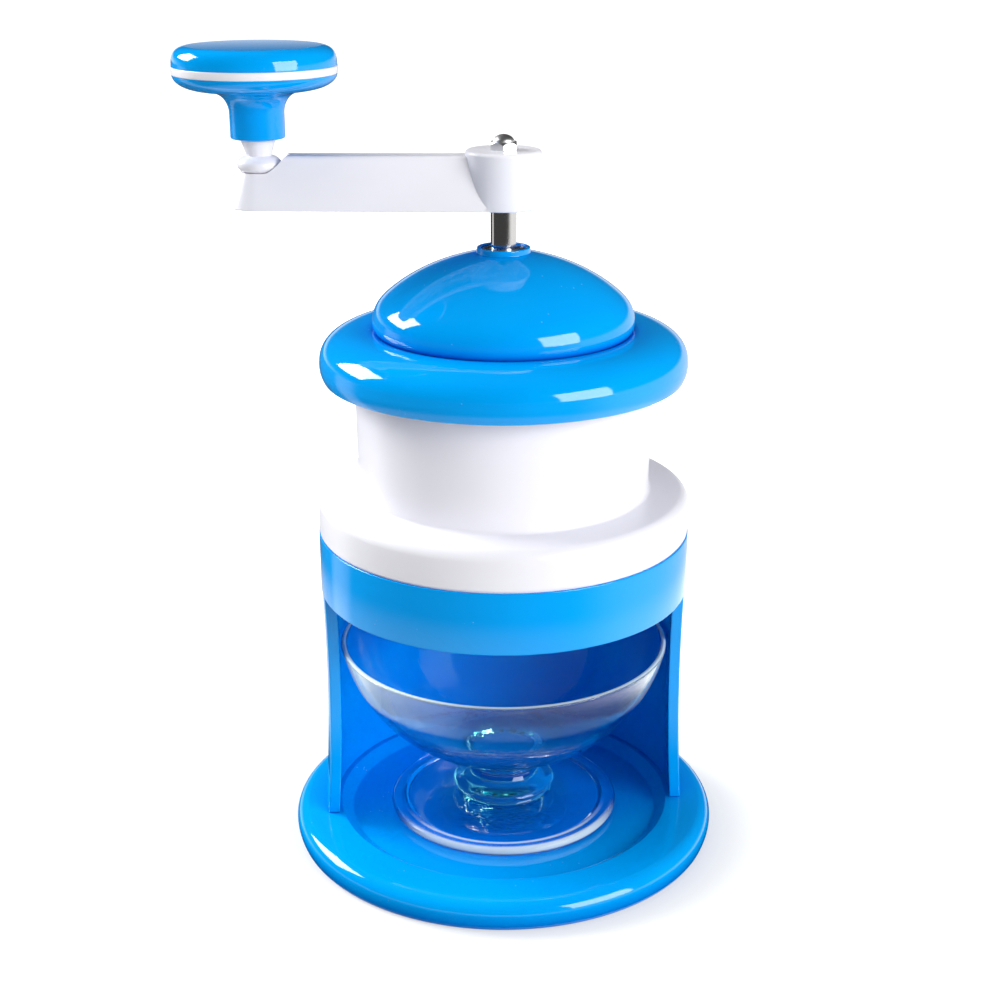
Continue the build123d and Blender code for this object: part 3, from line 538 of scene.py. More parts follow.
stand_screw_places = around(59.15, 24.0, 44.0, 4)
stand_screw_outline = [(0, 1.2), (2.05, 1.2), (2.3, 1.4), (1.1, 2.6), (1.1, 20.0), (0, 20.5)]
stand_screws = joined(
    "tray_screws",
    [(stand_screw_outline, place) for place in stand_screw_places],
    screw_finish,
)
for name, (half_x, half_y) in (("screw_recess", (1.3, 0.28)), ("screw_cross", (0.28, 1.3))):
    recesses = bmesh.new()
    for index, place in enumerate(stand_screw_places):
        block(recesses, (-half_x, -half_y, 0.9), (half_x, half_y, 2.1), 0.7 * index, place)
    cut(stand_screws, recesses, name)
fitted(stand_screws, "stand", ["stand_screws"])

# ---- wall ------------------------------------------------------------------------------------
# A curved blue wall with a slight waist carries the hopper. It is moulded as a C, open towards
# the front for the bowl, and its two upright ends are cut flat.

wall_low, wall_high = base_top, 88.9
wall_front = -9.7
wall_thickness = 3.7
wall_outer = arc((61.0, wall_low), (59.3, (wall_low + wall_high) / 2), (59.8, wall_high), 28)


def c_wall(name, outline, front, finish, rounding):
    """A wall that an outline sweeps about the shaver's axis, cut off flat at the front."""
    work = bmesh.new()
    columns = 160
    rows = []
    for radius, height in outline:
        start = asin(front / radius)
        rows.append(
            [
                work.verts.new(
                    (
                        radius * cos(start + (pi - 2 * start) * k / columns) * mm,
                        radius * sin(start + (pi - 2 * start) * k / columns) * mm,
                        height * mm,
                    )
                )
                for k in range(columns + 1)
            ]
        )
    for low, high in zip(rows, rows[1:] + rows[:1]):
        for k in range(columns):
            work.faces.new((low[k], low[k + 1], high[k + 1], high[k]))
    half = len(rows) // 2
    for end in (0, columns):
        for i in range(half - 1):
            work.faces.new(
                (
                    rows[i][end],
                    rows[i + 1][end],
                    rows[-2 - i][end],
                    rows[-1 - i][end],
                )
            )
    piece = placed(name, solid(work, name), finish)
    edge = piece.modifiers.new("soft_edges", "BEVEL")
    edge.width = rounding * mm
    edge.segments = 4
    edge.limit_method = "ANGLE"
    edge.angle_limit = radians(50)
    edge.harden_normals = True
    return piece


wall_inner = [(radius - wall_thickness, height) for radius, height in reversed(wall_outer)]
wall = c_wall("back_wall", wall_outer + wall_inner, wall_front, blue_finish, 0.5)
fitted(wall, "stand", ["stand_wall"])

# ---- collar ring -----------------------------------------------------------------------------
# A plain blue band that sits on the wall and closes the C. A ledge inside it carries the blade
# plate, and the hopper's skirt stands on its upper edge.

collar_top = 108.8
collar_corners = [
    (58.0, wall_high, 0),
    (60.0, wall_high, 0.45),
    (60.0, collar_top, 0.35),
    (56.5, collar_top, 0.3),
    (56.5, 91.9, 0.4),
    (47.5, 91.9, 0.4),
    (47.5, wall_high, 0.4),
    (58.0, wall_high, 0),
]
collar = turned("blue_band", eased(collar_corners), blue_finish, steps=256)
fitted(collar, "stand", ["collar_ring"])

# ---- hopper ----------------------------------------------------------------------------------
# A white tube that the ice goes into. Its foot widens in a rounded shoulder to a skirt of the
# collar's width, and a small step leaves a shadow line between the two.

white = (0.88, 0.875, 0.935, 1.0)
white_warm = (0.85, 0.845, 0.90, 1.0)
white_finish = moulded("white_moulded", white, white_warm, gloss=0.27, level=0.4, peel=0.004)

shoulder = 122.5
skirt_top, skirt_foot = 118.4, 109.3
hopper_foot, hopper_top = 94.4, 168.1
hopper_outline = (
    eased(
        [
            (45.5, hopper_foot, 0),
            (44.3, hopper_foot, 0.3),
            (44.3, hopper_top, 0.6),
            (47.4, hopper_top, 0.6),
        ]
    )
    + arc((46.65, shoulder + 1.4), (46.95, shoulder + 0.35), (48.0, shoulder), 8)
    + [(56.4, shoulder - 0.55)]
    + curve([(56.9, shoulder - 0.6), (59.8, skirt_top)], (1, -0.15), (0, -1), 16)
    + eased(
        [
            (59.8, skirt_top, 0),
            (59.8, skirt_foot, 0.35),
            (59.2, skirt_foot, 0),
            (59.2, collar_top, 0),
            (56.2, collar_top, 0),
            (56.2, 98.8, 0.4),
            (53.8, 98.8, 0.4),
            (53.8, 120.1, 0.8),
            (46.6, 120.1, 0.8),
            (46.6, hopper_foot, 0.3),
            (45.5, hopper_foot, 0),
        ]
    )
)
hopper = turned("ice_hopper", hopper_outline, white_finish, steps=256)
fitted(hopper, "hopper", ["hopper"])

# ---- blade -----------------------------------------------------------------------------------
# A ground steel strip is screwed on a raised land of the white blade plate, beside the slot that
# the shaved ice falls through.

blade_finish = metal(
    "ground_steel", (0.72, 0.73, 0.75, 1), gloss=0.16, stretch=(1600, 40, 400), marks=0.003
)
bright_screw_finish = metal(
    "bright_screw", (0.70, 0.70, 0.71, 1), gloss=0.18, stretch=(600, 600, 600), marks=0.002
)
finished("blade_plate", white_finish)
finished("blade", blade_finish)
finished("blade_screws", bright_screw_finish)

# ---- lid -------------------------------------------------------------------------------------
# A blue moulding with a fat rolled brim and a dome. A small collar on the dome holds a flanged
# steel bush for the shaft, and a skirt inside the brim fits round the hopper.

rim = 159.7
dome_top = 198.3
dome_foot = rim + 19.65
dome_radius, dome_rise = 40.85, 38.6
collar_high = 200.0
brim_side, brim_crown, brim_inner = (58.0, rim + 5.4), (45.0, rim + 14.7), (39.6, rim + 14.0)
bush_seat = 186.2
lid_outline = (
    arc((56.9, rim), (57.85, rim + 2.43), brim_side, 10)
    + curve([brim_side, brim_crown], (0, 1), (-1, 0), 26, (1.2, 1.2))
    + curve([brim_crown, brim_inner], (-1, 0), (-0.9, -0.5), 8)
    + curve(
        [
            brim_inner,
            (dome_radius, dome_foot),
            (dome_radius * 0.88, rim + dome_rise * 0.681),
            (dome_radius * 0.66, rim + dome_rise * 0.833),
            (dome_radius * 0.416, rim + dome_rise * 0.94),
            (8.3, dome_top),
        ],
        (0.9, 0.5),
        (-1, 0.22),
        14,
    )
    + eased(
        [
            (8.6, dome_top - 0.05, 0),
            (8.3, dome_top, 0.25),
            (8.3, collar_high, 0.35),
            (7.1, collar_high, 0.3),
            (7.1, collar_high - 1.5, 0),
            (5.45, collar_high - 1.5, 0),
            (5.45, bush_seat, 0),
            (9.5, bush_seat, 0.5),
            (9.5, dome_top - 2.75, 0),
        ]
    )
    + arc((9.5, dome_top - 2.75), (25.46, rim + 29.75), (37.2, dome_foot), 14)
    + eased(
        [
            (37.2, dome_foot, 0),
            (37.2, 168.4, 0.5),
            (47.7, 168.4, 0.4),
            (47.7, 161.9, 0.3),
            (49.9, 161.9, 0.5),
            (49.9, 170.6, 0),
        ]
    )
    + arc((49.9, 170.6), (53.6, 166.7), (54.5, rim), 10)
    + eased([(54.5, rim, 0), (55.7, rim, 0), (56.9, rim, 0)])
)
lid = turned("domed_lid", lid_outline, blue_finish, steps=256)
fitted(lid, "lid", ["lid"])

bush_finish = metal(
    "bush_steel", (0.68, 0.67, 0.64, 1), gloss=0.2, stretch=(60, 60, 2400), marks=0.003
)
bush_corners = [
    (4.05, 190.0, 0),
    (4.05, collar_high - 0.5, 0.2),
    (6.9, collar_high - 0.5, 0.3),
    (6.9, collar_high - 1.5, 0.1),
    (5.4, collar_high - 1.5, 0),
    (5.4, bush_seat, 0.1),
    (4.05, bush_seat, 0.1),
    (4.05, 190.0, 0),
]
bush = turned("shaft_bush", eased(bush_corners), bush_finish, steps=96)
fitted(bush, "lid", ["lid_bush"])

# ---- spring and washer -----------------------------------------------------------------------
# A coil spring of bright wire between the lid and a steel washer presses the ice down. The
# washer lies on the presser's hub and stands still while the presser turns.

spring_finish = metal(
    "spring_wire", (0.60, 0.60, 0.62, 1), gloss=0.2, stretch=(700, 700, 700), marks=0.002
)
washer_finish = metal(
    "washer_steel", (0.66, 0.66, 0.67, 1), gloss=0.24, stretch=(900, 900, 300), marks=0.004
)
washer_corners = [
    (7.0, 113.1, 0),
    (9.5, 113.1, 0.25),
    (9.5, 111.9, 0.25),
    (4.3, 111.9, 0.2),
    (4.3, 113.1, 0.2),
    (7.0, 113.1, 0),
]
washer = turned("thrust_ring", eased(washer_corners, 3), washer_finish, steps=96)
fitted(washer, "spring_carrier", ["thrust_washer"])

spring_low, spring_high = 113.7, 185.6
spring_turns = 12


def coil(name, radius, wire, low, high, turns, finish):
    """A wire wound round an upright line, with a flat turn at each end."""
    work = bmesh.new()
    steps = 48 * (turns + 2)
    around_wire = 14
    loops = []
    for i in range(steps + 1):
        angle = 2 * pi * (turns + 1) * i / steps
        share = min(1, max(0, (i / steps * (turns + 1) - 0.5) / turns))
        centre = Vector((radius * cos(angle), radius * sin(angle), low + (high - low) * share))
        outwards = Vector((cos(angle), sin(angle), 0))
        loops.append(
            [
                work.verts.new(
                    (
                        centre
                        + outwards * wire * cos(2 * pi * k / around_wire)
                        + Vector((0, 0, wire * sin(2 * pi * k / around_wire)))
                    )
                    * mm
                )
                for k in range(around_wire)
            ]
        )
    for a, b in zip(loops, loops[1:]):
        for k in range(around_wire):
            following = (k + 1) % around_wire
            work.faces.new((a[k], a[following], b[following], b[k]))
    work.faces.new(loops[0])
    work.faces.new(loops[-1])
    return placed(name, solid(work, name), finish, 50)


spring = coil("press_spring", 7.2, 0.6, spring_low, spring_high, spring_turns, spring_finish)
fitted(spring, "lid", ["spring"])
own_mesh(spring)

# ---- shaft and presser -----------------------------------------------------------------------
# A polished 8 mm steel rod carries the presser at its lower end. The white presser disc has ribs
# and a hub, and steel spikes set in its underside grip the ice.

shaft_finish = metal(
    "polished_rod",
    (0.74, 0.73, 0.72, 1),
    gloss=0.07,
    stretch=(80, 80, 3600),
    marks=0.0016,
    stain=0.06,
)
shaft_foot, shaft_step, shaft_shoulder, shaft_end = 95.25, 214.4, 229.5, 233.6
shaft_outline = eased(
    [
        (0, shaft_foot, 0),
        (4.0, shaft_foot, 0.5),
        (4.0, shaft_step, 0),
        (3.1, shaft_step, 0),
        (3.1, shaft_shoulder, 0),
        (2.0, shaft_shoulder, 0),
        (2.0, shaft_end, 0.3),
        (0, shaft_end, 0),
    ]
)
shaft = turned("drive_rod", shaft_outline, shaft_finish, steps=96)
fitted(shaft, "crank", ["shaft"])

finished("cross_pin", bright_screw_finish)

press_low, press_high = 103.1, 106.6
presser_corners = [
    (4.05, 98.0, 0),
    (4.05, 97.1, 0.2),
    (9.5, 97.1, 0.5),
    (9.5, press_low, 0.8),
    (42.7, press_low, 0.5),
    (42.7, press_high, 0.5),
    (9.5, press_high, 0.6),
    (9.5, 111.6, 0.5),
    (4.05, 111.6, 0.2),
    (4.05, 98.0, 0),
]
presser = turned("ice_presser", eased(presser_corners), white_finish)
ribs = bmesh.new()
for index in range(6):
    block(ribs, (6.0, -1.2, 106.0), (41.7, 1.2, 111.1), radians(15 + 60 * index))
cut(presser, ribs, "presser_ribs", "UNION")
fitted(presser, "crank", ["presser"])

spike_outline = [(0, 96.8), (0.3, 96.85), (1.5, 98.8), (1.5, 105.8), (0, 105.8)]
spike_places = around(17.93, 0, 90, 4) + around(28.18, 20, 72, 5) + around(38.0, 40, 60, 6)
spikes = joined(
    "ice_spikes", [(spike_outline, place) for place in spike_places], blade_finish
)
fitted(spikes, "crank", ["presser_spikes"])

# ---- crank arm -------------------------------------------------------------------------------
# One white moulding: a tapered bar, hollow and ribbed below, with a round hub on the rod. At its
# other end a scooped seat carries the waisted peg and the spindle that the knob turns on.

crank_angle = radians(174.4)
arm_low, arm_high, arm_reach = 212.4, 228.1, 74.3
hub_half, tip_half = (11.4, 4.2), (9.8, 4.0)
hub_high = arm_low + 17.3
hub_radius = 11.8
knob_centre = (arm_reach * cos(crank_angle), arm_reach * sin(crank_angle))


def arm_half(level, share):
    """Half the arm's width at a height from 0 to 1 and a share of its length from the hub."""
    near = hub_half[0] + (hub_half[1] - hub_half[0]) * level
    far = tip_half[0] + (tip_half[1] - tip_half[0]) * level
    return near + (far - near) * share


def arm_ring(level, inset, steps=24):
    """The arm's outline on one level, 0 at its foot and 1 at its top, drawn in by an inset."""
    end = arm_half(level, 1) - inset
    ring = [(arm_reach * k / 12, arm_half(level, k / 12) - inset) for k in range(12)]
    ring += [
        (arm_reach + end * sin(pi * k / steps), end * cos(pi * k / steps))
        for k in range(steps + 1)
    ]
    return ring + [(x, -y) for x, y in reversed(ring[:12])]


def arm_bar(name, finish):
    """The arm's bar with rounded long edges."""
    work = bmesh.new()
    height = arm_high - arm_low
    top_round, foot_round = 0.9, 0.4
    levels = [
        (
            (foot_round - foot_round * cos(pi / 2 * k / 5)) / height,
            foot_round - foot_round * sin(pi / 2 * k / 5),
        )
        for k in range(6)
    ]
    levels += [(level, 0.0) for level in (0.25, 0.5, 0.75)]
    levels += [
        (
            1 - (top_round - top_round * sin(pi / 2 * k / 6)) / height,
            top_round - top_round * cos(pi / 2 * k / 6),
        )
        for k in range(7)
    ]
    rings = []
    for level, inset in levels:
        ring = []
        for along, across in arm_ring(level, inset):
            spot = Vector((along, across, arm_low + height * level))
            spot.rotate(Matrix.Rotation(crank_angle, 3, "Z"))
            ring.append(work.verts.new(spot * mm))
        rings.append(ring)
    count = len(rings[0])
    for low, high in zip(rings, rings[1:]):
        for k in range(count):
            following = (k + 1) % count
            work.faces.new((low[k], low[following], high[following], high[k]))
    work.faces.new(rings[0])
    work.faces.new(rings[-1])
    return placed(name, solid(work, name), finish)


arm = arm_bar("crank_bar", white_finish)
hollows = bmesh.new()
arm_height, arm_roof, arm_skin, web_half = 15.7, 2.6, 2.2, 0.8
pocket_start, pocket_pitch, pocket_length = 14.0, 17.533, 15.933
pockets = [(pocket_start + pocket_pitch * k, side) for k in range(3) for side in (-1, 1)]
for near, side in pockets:
    corners = []
    for level in (-0.02, 1 - arm_roof / arm_height):
        for along in (near, near + pocket_length):
            for across in (arm_half(level, along / arm_reach) - arm_skin, web_half):
                spot = Vector((along, side * across, arm_low + arm_height * level))
                spot.rotate(Matrix.Rotation(crank_angle, 3, "Z"))
                corners.append(hollows.verts.new(spot * mm))
    for loop in (
        (0, 1, 3, 2),
        (4, 5, 7, 6),
        (0, 1, 5, 4),
        (2, 3, 7, 6),
        (0, 2, 6, 4),
        (1, 3, 7, 5),
    ):
        hollows.faces.new([corners[k] for k in loop])
cut(arm, hollows, "arm_hollows")
scoop = bmesh.new()
scoop_floor = arm_high - 5.1
ring_mesh(
    scoop,
    eased(
        [
            (0, scoop_floor, 0),
            (6.4, scoop_floor, 0.8),
            (9.87, arm_high + 1, 0),
            (0, arm_high + 1, 0),
        ]
    ),
    knob_centre,
    96,
)
cut(arm, scoop, "arm_scoop")
hub = bmesh.new()
ring_mesh(
    hub,
    eased(
        [
            (0, arm_low, 0),
            (hub_radius, arm_low, 0.4),
            (hub_radius, hub_high, 1.2),
            (0, hub_high, 0),
        ],
        8,
    ),
    (0, 0),
    160,
)
cut(arm, hub, "arm_hub", "UNION")
stem_low = scoop_floor + 10.05
peg_top = stem_low - 0.3
spindle_top = stem_low + 14.45
peg_foot, peg_collar, peg_waist, peg_head, spindle = 4.6, 6.85, 3.8, 5.4, 3.6
waist_high = scoop_floor + 4.9
peg = bmesh.new()
ring_mesh(
    peg,
    [(0, scoop_floor - 1), (peg_foot, scoop_floor - 1), (peg_foot, scoop_floor)]
    + curve(
        [(peg_foot, scoop_floor), (peg_collar, scoop_floor + 2.2), (peg_waist, waist_high)],
        (1, 0.1),
        (-1, 0.1),
        10,
    )
    + eased(
        [
            (peg_waist, waist_high, 0),
            (peg_head, peg_top, 0.3),
            (spindle, peg_top, 0),
            (spindle, spindle_top, 0.3),
            (0, spindle_top, 0),
        ]
    ),
    knob_centre,
    96,
)
cut(arm, peg, "arm_peg", "UNION")


def evened(piece, crease):
    """Smooths a cut piece again, except at its sharp edges."""
    piece.data.shade_smooth()
    piece.data.set_sharp_from_angle(angle=radians(crease))
    piece.modifiers.new("even_shading", "WEIGHTED_NORMAL").keep_sharp = True


evened(arm, 32)
fitted(arm, "crank", ["crank_arm"])

# ---- crank nut -------------------------------------------------------------------------------
# A small cap nut of plated steel with six flats, a round foot and a domed top. It is screwed on
# the rod's thread and clamps the arm's hub.

nut_finish = metal(
    "plated_nut", (0.94, 0.94, 0.95, 1), gloss=0.36, stretch=(500, 500, 500), marks=0.0015
)
nut_radius, nut_dome_radius = 4.62, 3.3
nut_corner = 4.0 / cos(pi / 6)
nut_shoulder, nut_top = hub_high + 2.4, hub_high + 4.6
nut = turned(
    "cap_nut",
    eased(
        [
            (0, hub_high, 0),
            (4.4, hub_high, 0.15),
            (nut_radius, hub_high + 0.3, 0),
            (nut_radius, hub_high + 1.5, 0),
            (3.9, nut_shoulder, 0),
            (0, nut_shoulder, 0),
        ],
        3,
    ),
    nut_finish,
    steps=96,
)
hexagon = bmesh.new()
corners = [
    [
        hexagon.verts.new(
            (
                nut_corner * cos(crank_angle + pi / 6 + pi / 3 * k) * mm,
                nut_corner * sin(crank_angle + pi / 6 + pi / 3 * k) * mm,
                level * mm,
            )
        )
        for k in range(6)
    ]
    for level in (hub_high - 1, hub_high + 4)
]
hexagon.faces.new(corners[0])
hexagon.faces.new(corners[1])
for k in range(6):
    hexagon.faces.new(
        (corners[0][k], corners[0][(k + 1) % 6], corners[1][(k + 1) % 6], corners[1][k])
    )
cut(nut, hexagon, "nut_flats", "INTERSECT")
dome = bmesh.new()
ring_mesh(
    dome,
    [(0, hub_high + 1), (nut_dome_radius, hub_high + 1), (nut_dome_radius, nut_shoulder)]
    + curve([(nut_dome_radius, nut_shoulder), (0, nut_top)], (0, 1), (-1, 0), 14),
    (0, 0),
    64,
)
cut(nut, dome, "nut_dome", "UNION")
evened(nut, 28)
fitted(nut, "crank", ["crank_nut"])

# ---- knob ------------------------------------------------------------------------------------
# A mushroom knob in two blue shells with a white band pressed between them. It turns on the
# arm's spindle, and a washer and screw inside keep it there.

knob_radius, stem_radius, bore = 24.6, 8.25, 3.65
under_high = stem_low + 11.95
cup_floor = under_high + 2.2
lower_top = stem_low + 19.0
band_top = lower_top + 2.4
knob_top = stem_low + 27.2
lower_outline = (
    eased(
        [
            (bore, cup_floor - 1, 0),
            (bore, stem_low, 0.3),
            (stem_radius, stem_low, 0.5),
            (stem_radius, stem_low + 6.5, 0),
        ]
    )
    + curve(
        [
            (stem_radius, stem_low + 7.5),
            (9.9, under_high),
            (22.0, stem_low + 15.8),
            (knob_radius, lower_top),
        ],
        (0, 1),
        (0.05, 1),
        16,
    )
    + [
        (22.4, lower_top),
        (22.4, lower_top - 2.3),
        (20.9, cup_floor + 2.3),
        (13.0, cup_floor),
        (bore, cup_floor),
        (bore, cup_floor - 1),
    ]
)
knob_lower = turned("knob_trumpet", lower_outline, blue_finish, knob_centre)
fitted(knob_lower, "knob", ["knob_lower"])

band_corners = [
    (23.5, lower_top, 0),
    (24.8, lower_top, 0.4),
    (24.8, band_top, 0.4),
    (22.4, band_top, 0.1),
    (22.4, lower_top, 0.1),
    (23.5, lower_top, 0),
]
knob_band = turned("knob_stripe", eased(band_corners), white_finish, knob_centre)
fitted(knob_band, "knob", ["knob_band"])

cap_outline = (
    [
        (0, knob_top - 2.6),
        (18.5, knob_top - 2.6),
        (20.55, band_top - 0.6),
        (20.55, lower_top - 2.0),
        (22.35, lower_top - 2.0),
        (22.35, band_top),
        (knob_radius, band_top),
    ]
    + curve(
        [(knob_radius, band_top), (23.5, band_top + 4.35), (20.0, knob_top)], (0, 1), (-1, 0), 18
    )
    + [(0, knob_top)]
)
knob_cap = turned("knob_cover", cap_outline, blue_finish, knob_centre)
fitted(knob_cap, "knob", ["knob_cap"])

finished("knob_washer", screw_finish)
finished("knob_screw", screw_finish)

# ---- bowl ------------------------------------------------------------------------------------
# A clear dessert bowl, moulded in one piece with a faint green tint: a deep dish, a short stem
# with a knot, and a wide foot with a rolled ring that stands in the base's recess.

floor_level = recess_floor
knot = floor_level + 8.6
side = floor_level + 41.0
belly = floor_level + 22.2
bowl_rim = floor_level + 62.0
foot_reach, foot_roll = 38.6, 1.7
foot_ring = foot_reach - foot_roll
foot_top = floor_level + 3.4
foot_under = floor_level + 1.6
wide = 54.3
lip = bowl_rim - 0.6


def clear(name, tint, thick_tint, lines):
    """Clear moulded plastic with faint ripples. Light passes it without a dark shadow.

    The lines are places, each a radius, a height and a width, where a pale shade is mixed in as
    painted highlights on its edges: all round when a line's last value is 0, and at the front
    alone when it is 1. A pale band on the front of the dish is a painted sheen.
    """
    finish = Finish(name)
    place = finish.node("ShaderNodeTexCoord", output="Object")
    ripple = finish.noise(place, 45, 2.0) + 0.12 * finish.noise(place, 500, 2.0)
    normal = finish.node(
        "ShaderNodeBump",
        None,
        {"Strength": 0.5, "Distance": 0.0004, "Height": ripple},
    )
    smears = finish.between(finish.noise(place, 70, 4.0, 0.6), 0.52, 0.8)
    height = finish.along(place, "Z")
    frontward = finish.along(place, "Y")
    front = finish.between(frontward, -0.008, -0.03)
    flat = finish.vectors("MULTIPLY", place, (1, 1, 0), output="Vector")
    radius = finish.vectors("LENGTH", flat)
    thick = finish.between(height, (belly + 7) * mm, (belly + 1) * mm)
    thick = thick * finish.between(radius, 0.025, 0.018)
    body = finish.node(
        "ShaderNodeBsdfPrincipled",
        None,
        {
            "Base Color": finish.blend(thick, tint, thick_tint),
            "Transmission Weight": 1.0,
            "IOR": 1.49,
            "Roughness": 0.012 + 0.05 * smears,
            "Normal": normal,
        },
    )
    # Painted highlights and painted sheen: a pale diffuse shade mixed into the clear body.
    pale = finish.node("ShaderNodeBsdfDiffuse", None, {"Color": (0.80, 0.93, 0.95, 1)})
    share = 0.0
    for line_radius, line_height, width, front_only in lines:
        offset = {0: radius - line_radius * mm, 1: height - line_height * mm}
        apart = finish.vectors("LENGTH", finish.node("ShaderNodeCombineXYZ", None, offset))
        line = finish.between(apart, width * mm, width * 0.0004)
        share = share + (line * front if front_only else line)
    sideways = finish.along(place, "X")
    # Painted sheen: a pale band on the front of the dish below the rim, strongest towards its
    # left side.
    haze_and_painted_sheen = finish.between(height, 0.0535, 0.0560) * finish.between(frontward, -0.006, -0.02)
    haze_and_painted_sheen = haze_and_painted_sheen * (
        0.025
        + finish.between(sideways, -0.010, -0.045, 0.0, 0.25)
        + finish.between(sideways, 0.030, 0.050, 0.0, 0.10)
    )
    share = haze_and_painted_sheen.maths("MINIMUM", share * 0.62 + haze_and_painted_sheen, 0.9)
    body = finish.node("ShaderNodeMixShader", None, {0: share, 1: body, 2: pale})
    shadow = finish.ray("Is Shadow Ray")
    depth = finish.ray("Ray Depth")
    path = shadow.maths("MAXIMUM", shadow, depth > 4.5)
    through = finish.node("ShaderNodeBsdfTransparent", None, {"Color": (0.93, 0.98, 0.985, 1)})
    return finish.show(finish.node("ShaderNodeMixShader", None, {0: path, 1: body, 2: through}))


# Painted highlights: pale lines on the rim and along the front of the foot ring.
bowl_painted_highlights = [
    (53.4, bowl_rim, 1.0, 0),
    (38.2, floor_level + 2.4, 1.8, 1),
    (34.6, floor_level + 3.3, 0.9, 1),
]
bowl_finish = clear(
    "clear_green", (0.95, 0.985, 0.98, 1), (0.16, 0.86, 0.80, 1), bowl_painted_highlights
)
bowl_outline = (
    [(0, foot_under)]
    + [(8.0 * k, foot_under) for k in range(1, 4)]
    + curve([(32.6, foot_under), (foot_ring, floor_level)], (0.5, -1), (1, 0), 8)
    + arc(
        (foot_ring, floor_level),
        (foot_reach, floor_level + foot_roll),
        (foot_ring, foot_top),
        14,
    )
    + curve(
        [
            (foot_ring, foot_top),
            (31.6, floor_level + 3.2),
            (18.5, knot - 2.86),
            (15.8, knot - 1.3),
        ],
        (-1, -0.25),
        (0.2, 1),
        10,
    )
    + curve(
        [(15.8, knot - 1.3), (17.0, knot), (12.0, knot + 4.16), (15.0, belly - 1.1)],
        (0.5, 1),
        (1, 0.35),
        10,
    )
    + arc((19.5, belly), (45.0, side), (wide, lip), 40)
    + arc((wide, lip), (53.4, bowl_rim), (52.5, lip), 8)
    + arc((52.5, lip), (43.65, side + 1.17), (19.5, belly + 2.16), 40)
    + curve([(19.5, belly + 2.16), (0, belly)], (-1, -0.5), (-1, 0), 14)
)
bowl = turned("clear_bowl", bowl_outline, bowl_finish, steps=256)
fitted(bowl, "bowl", ["bowl"])

# ---- floor, light and camera -----------------------------------------------------------------
# The shaver stands on a white studio floor. A softbox stands behind its left and a wider, weaker
# one in front of its right. A faint net above adds light that the gloss doesn't mirror.


def studio_floor():
    """A wide white sheet that glows white, dimmed round the shaver's foot as a painted shadow,
    and keeps the shaver's shadow.
    """
    work = bmesh.new()
    bmesh.ops.create_grid(work, x_segments=2, y_segments=2, size=6.0)
    finish = Finish("white_sheet")
    seen = finish.ray("Is Camera Ray")
    mirrored = finish.ray("Is Glossy Ray")
    through = finish.ray("Is Transmission Ray")
    share = seen.maths("MAXIMUM", seen, through)
    place = finish.node("ShaderNodeTexCoord", output="Object")
    away = finish.vectors("LENGTH", place)
    matt = finish.node("ShaderNodeBsdfDiffuse", None, {"Color": (0.5, 0.5, 0.5, 1)})
    # Painted shadow: the glow falls from white to 0.45 within about 0.07 to 0.11 m of the middle.
    glow = finish.node(
        "ShaderNodeEmission",
        None,
        {"Color": share * finish.between(away, 0.068, 0.112, 0.45, 1.0), "Strength": 1.0},
    )
    lit = finish.node("ShaderNodeAddShader", None, {0: matt, 1: glow})
    sideways = finish.vectors("NORMALIZE", place, output="Vector")
    right_share = finish.vectors("DOT_PRODUCT", sideways, (0.95, 0.30, 0.0))
    left_share = finish.vectors("DOT_PRODUCT", sideways, (-0.90, 0.43, 0.0))
    beyond = finish.between(away, 0.085, 0.12)
    backdrop = finish.between(right_share, 0.25, 0.85, 0.06, 1.0) * beyond
    backdrop = backdrop + 0.8 * beyond * finish.between(left_share, 0.968, 0.998)
    backdrop = backdrop + 0.75 * beyond * finish.between(away, 0.30, 0.20)
    image = finish.node("ShaderNodeEmission", None, {"Color": backdrop, "Strength": 1.0})
    lit = finish.node("ShaderNodeMixShader", None, {0: mirrored, 1: lit, 2: image})
    under = finish.node("ShaderNodeNewGeometry", output="Backfacing")
    touching = finish.ray("Ray Length") < 0.0015
    under = under.maths("MAXIMUM", under, touching)
    clear_below = finish.node("ShaderNodeBsdfTransparent")
    finish.show(finish.node("ShaderNodeMixShader", None, {0: under, 1: lit, 2: clear_below}))
    mesh = solid(work, "studio_floor")
    sheet = bpy.data.objects.new("studio_floor", mesh)
    mesh.materials.append(finish.material)
    scene.collection.objects.link(sheet)


studio_floor()

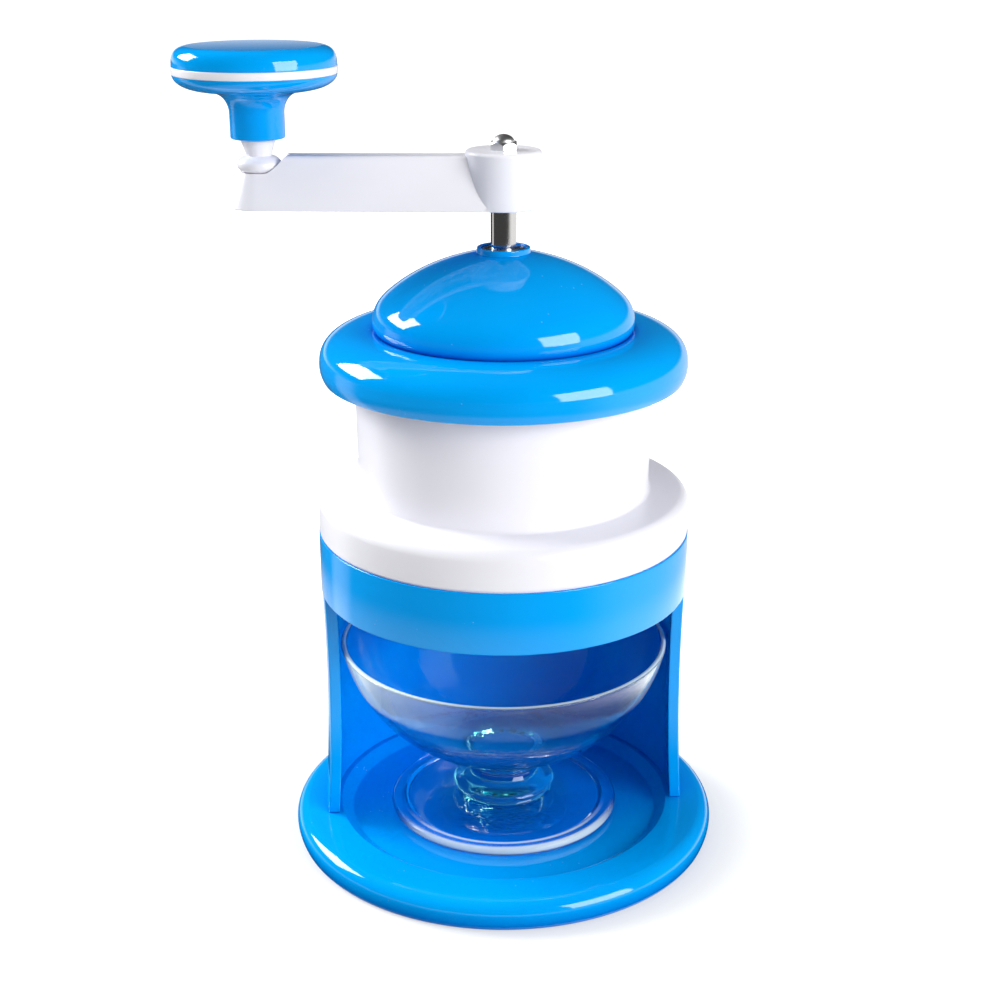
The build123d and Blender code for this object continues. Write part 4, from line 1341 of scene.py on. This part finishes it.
world = Finish("studio", bpy.data.worlds.new("studio"))
scene.world = world.material
direct = world.ray("Is Camera Ray")
mirrored = world.ray("Is Glossy Ray")
through = world.ray("Is Transmission Ray")
direction = world.node("ShaderNodeTexCoord", output="Generated")
bright = world.vectors("DOT_PRODUCT", direction, (0.707, 0.707, 0.0))
upward = world.along(direction, "Z")
backdrop = world.between(bright, -0.55, 0.35, 0.06, 1.0)
backdrop = backdrop * world.between(upward, 0.0, 0.12, 1.0, 0.02)
plain = direct.maths("MAXIMUM", direct, through)
fill = 0.31
strength = plain + (1 - plain) * (mirrored * backdrop + (1 - mirrored) * fill)
background = world.node("ShaderNodeBackground", None, {"Color": strength, "Strength": 1.0})
world_end = world.tree.nodes.new("ShaderNodeOutputWorld")
world.tree.links.new(background.socket, world_end.inputs[0])


def softbox(name, azimuth, elevation, distance, width, height, power, mirrored=True):
    """A lamp with a flat front that looks at the middle of the shaver."""
    lamp = bpy.data.lights.new(name, "AREA")
    lamp.shape = "RECTANGLE"
    lamp.size, lamp.size_y = width, height
    lamp.energy = power
    holder = bpy.data.objects.new(name, lamp)
    scene.collection.objects.link(holder)
    a, e = radians(azimuth), radians(elevation)
    aim = Vector((0, 0, 0.12))
    spot = aim + distance * Vector((cos(a) * cos(e), sin(a) * cos(e), sin(e)))
    holder.location = spot
    holder.rotation_euler = (aim - spot).to_track_quat("-Z", "Y").to_euler()
    holder.visible_camera = False
    holder.visible_glossy = mirrored


softbox(
    "left_softbox", azimuth=153, elevation=29, distance=1.5, width=0.80, height=0.66, power=29
)
softbox(
    "right_softbox", azimuth=-45, elevation=17, distance=1.5, width=0.92, height=0.86, power=22
)
softbox(
    "top_net",
    azimuth=150,
    elevation=74,
    distance=1.6,
    width=1.4,
    height=1.4,
    power=7,
    mirrored=False,
)

camera = bpy.data.cameras.new("photo_camera")
camera.sensor_width = 36.0
camera.lens = 60.27
camera.shift_x = -0.0036
holder = bpy.data.objects.new("photo_camera", camera)
holder.location = (-0.04697, -0.51115, 0.3008)
holder.rotation_euler = (radians(70.28), 0, radians(-5.25))
scene.collection.objects.link(holder)
scene.camera = holder
scene.view_settings.view_transform = "Standard"
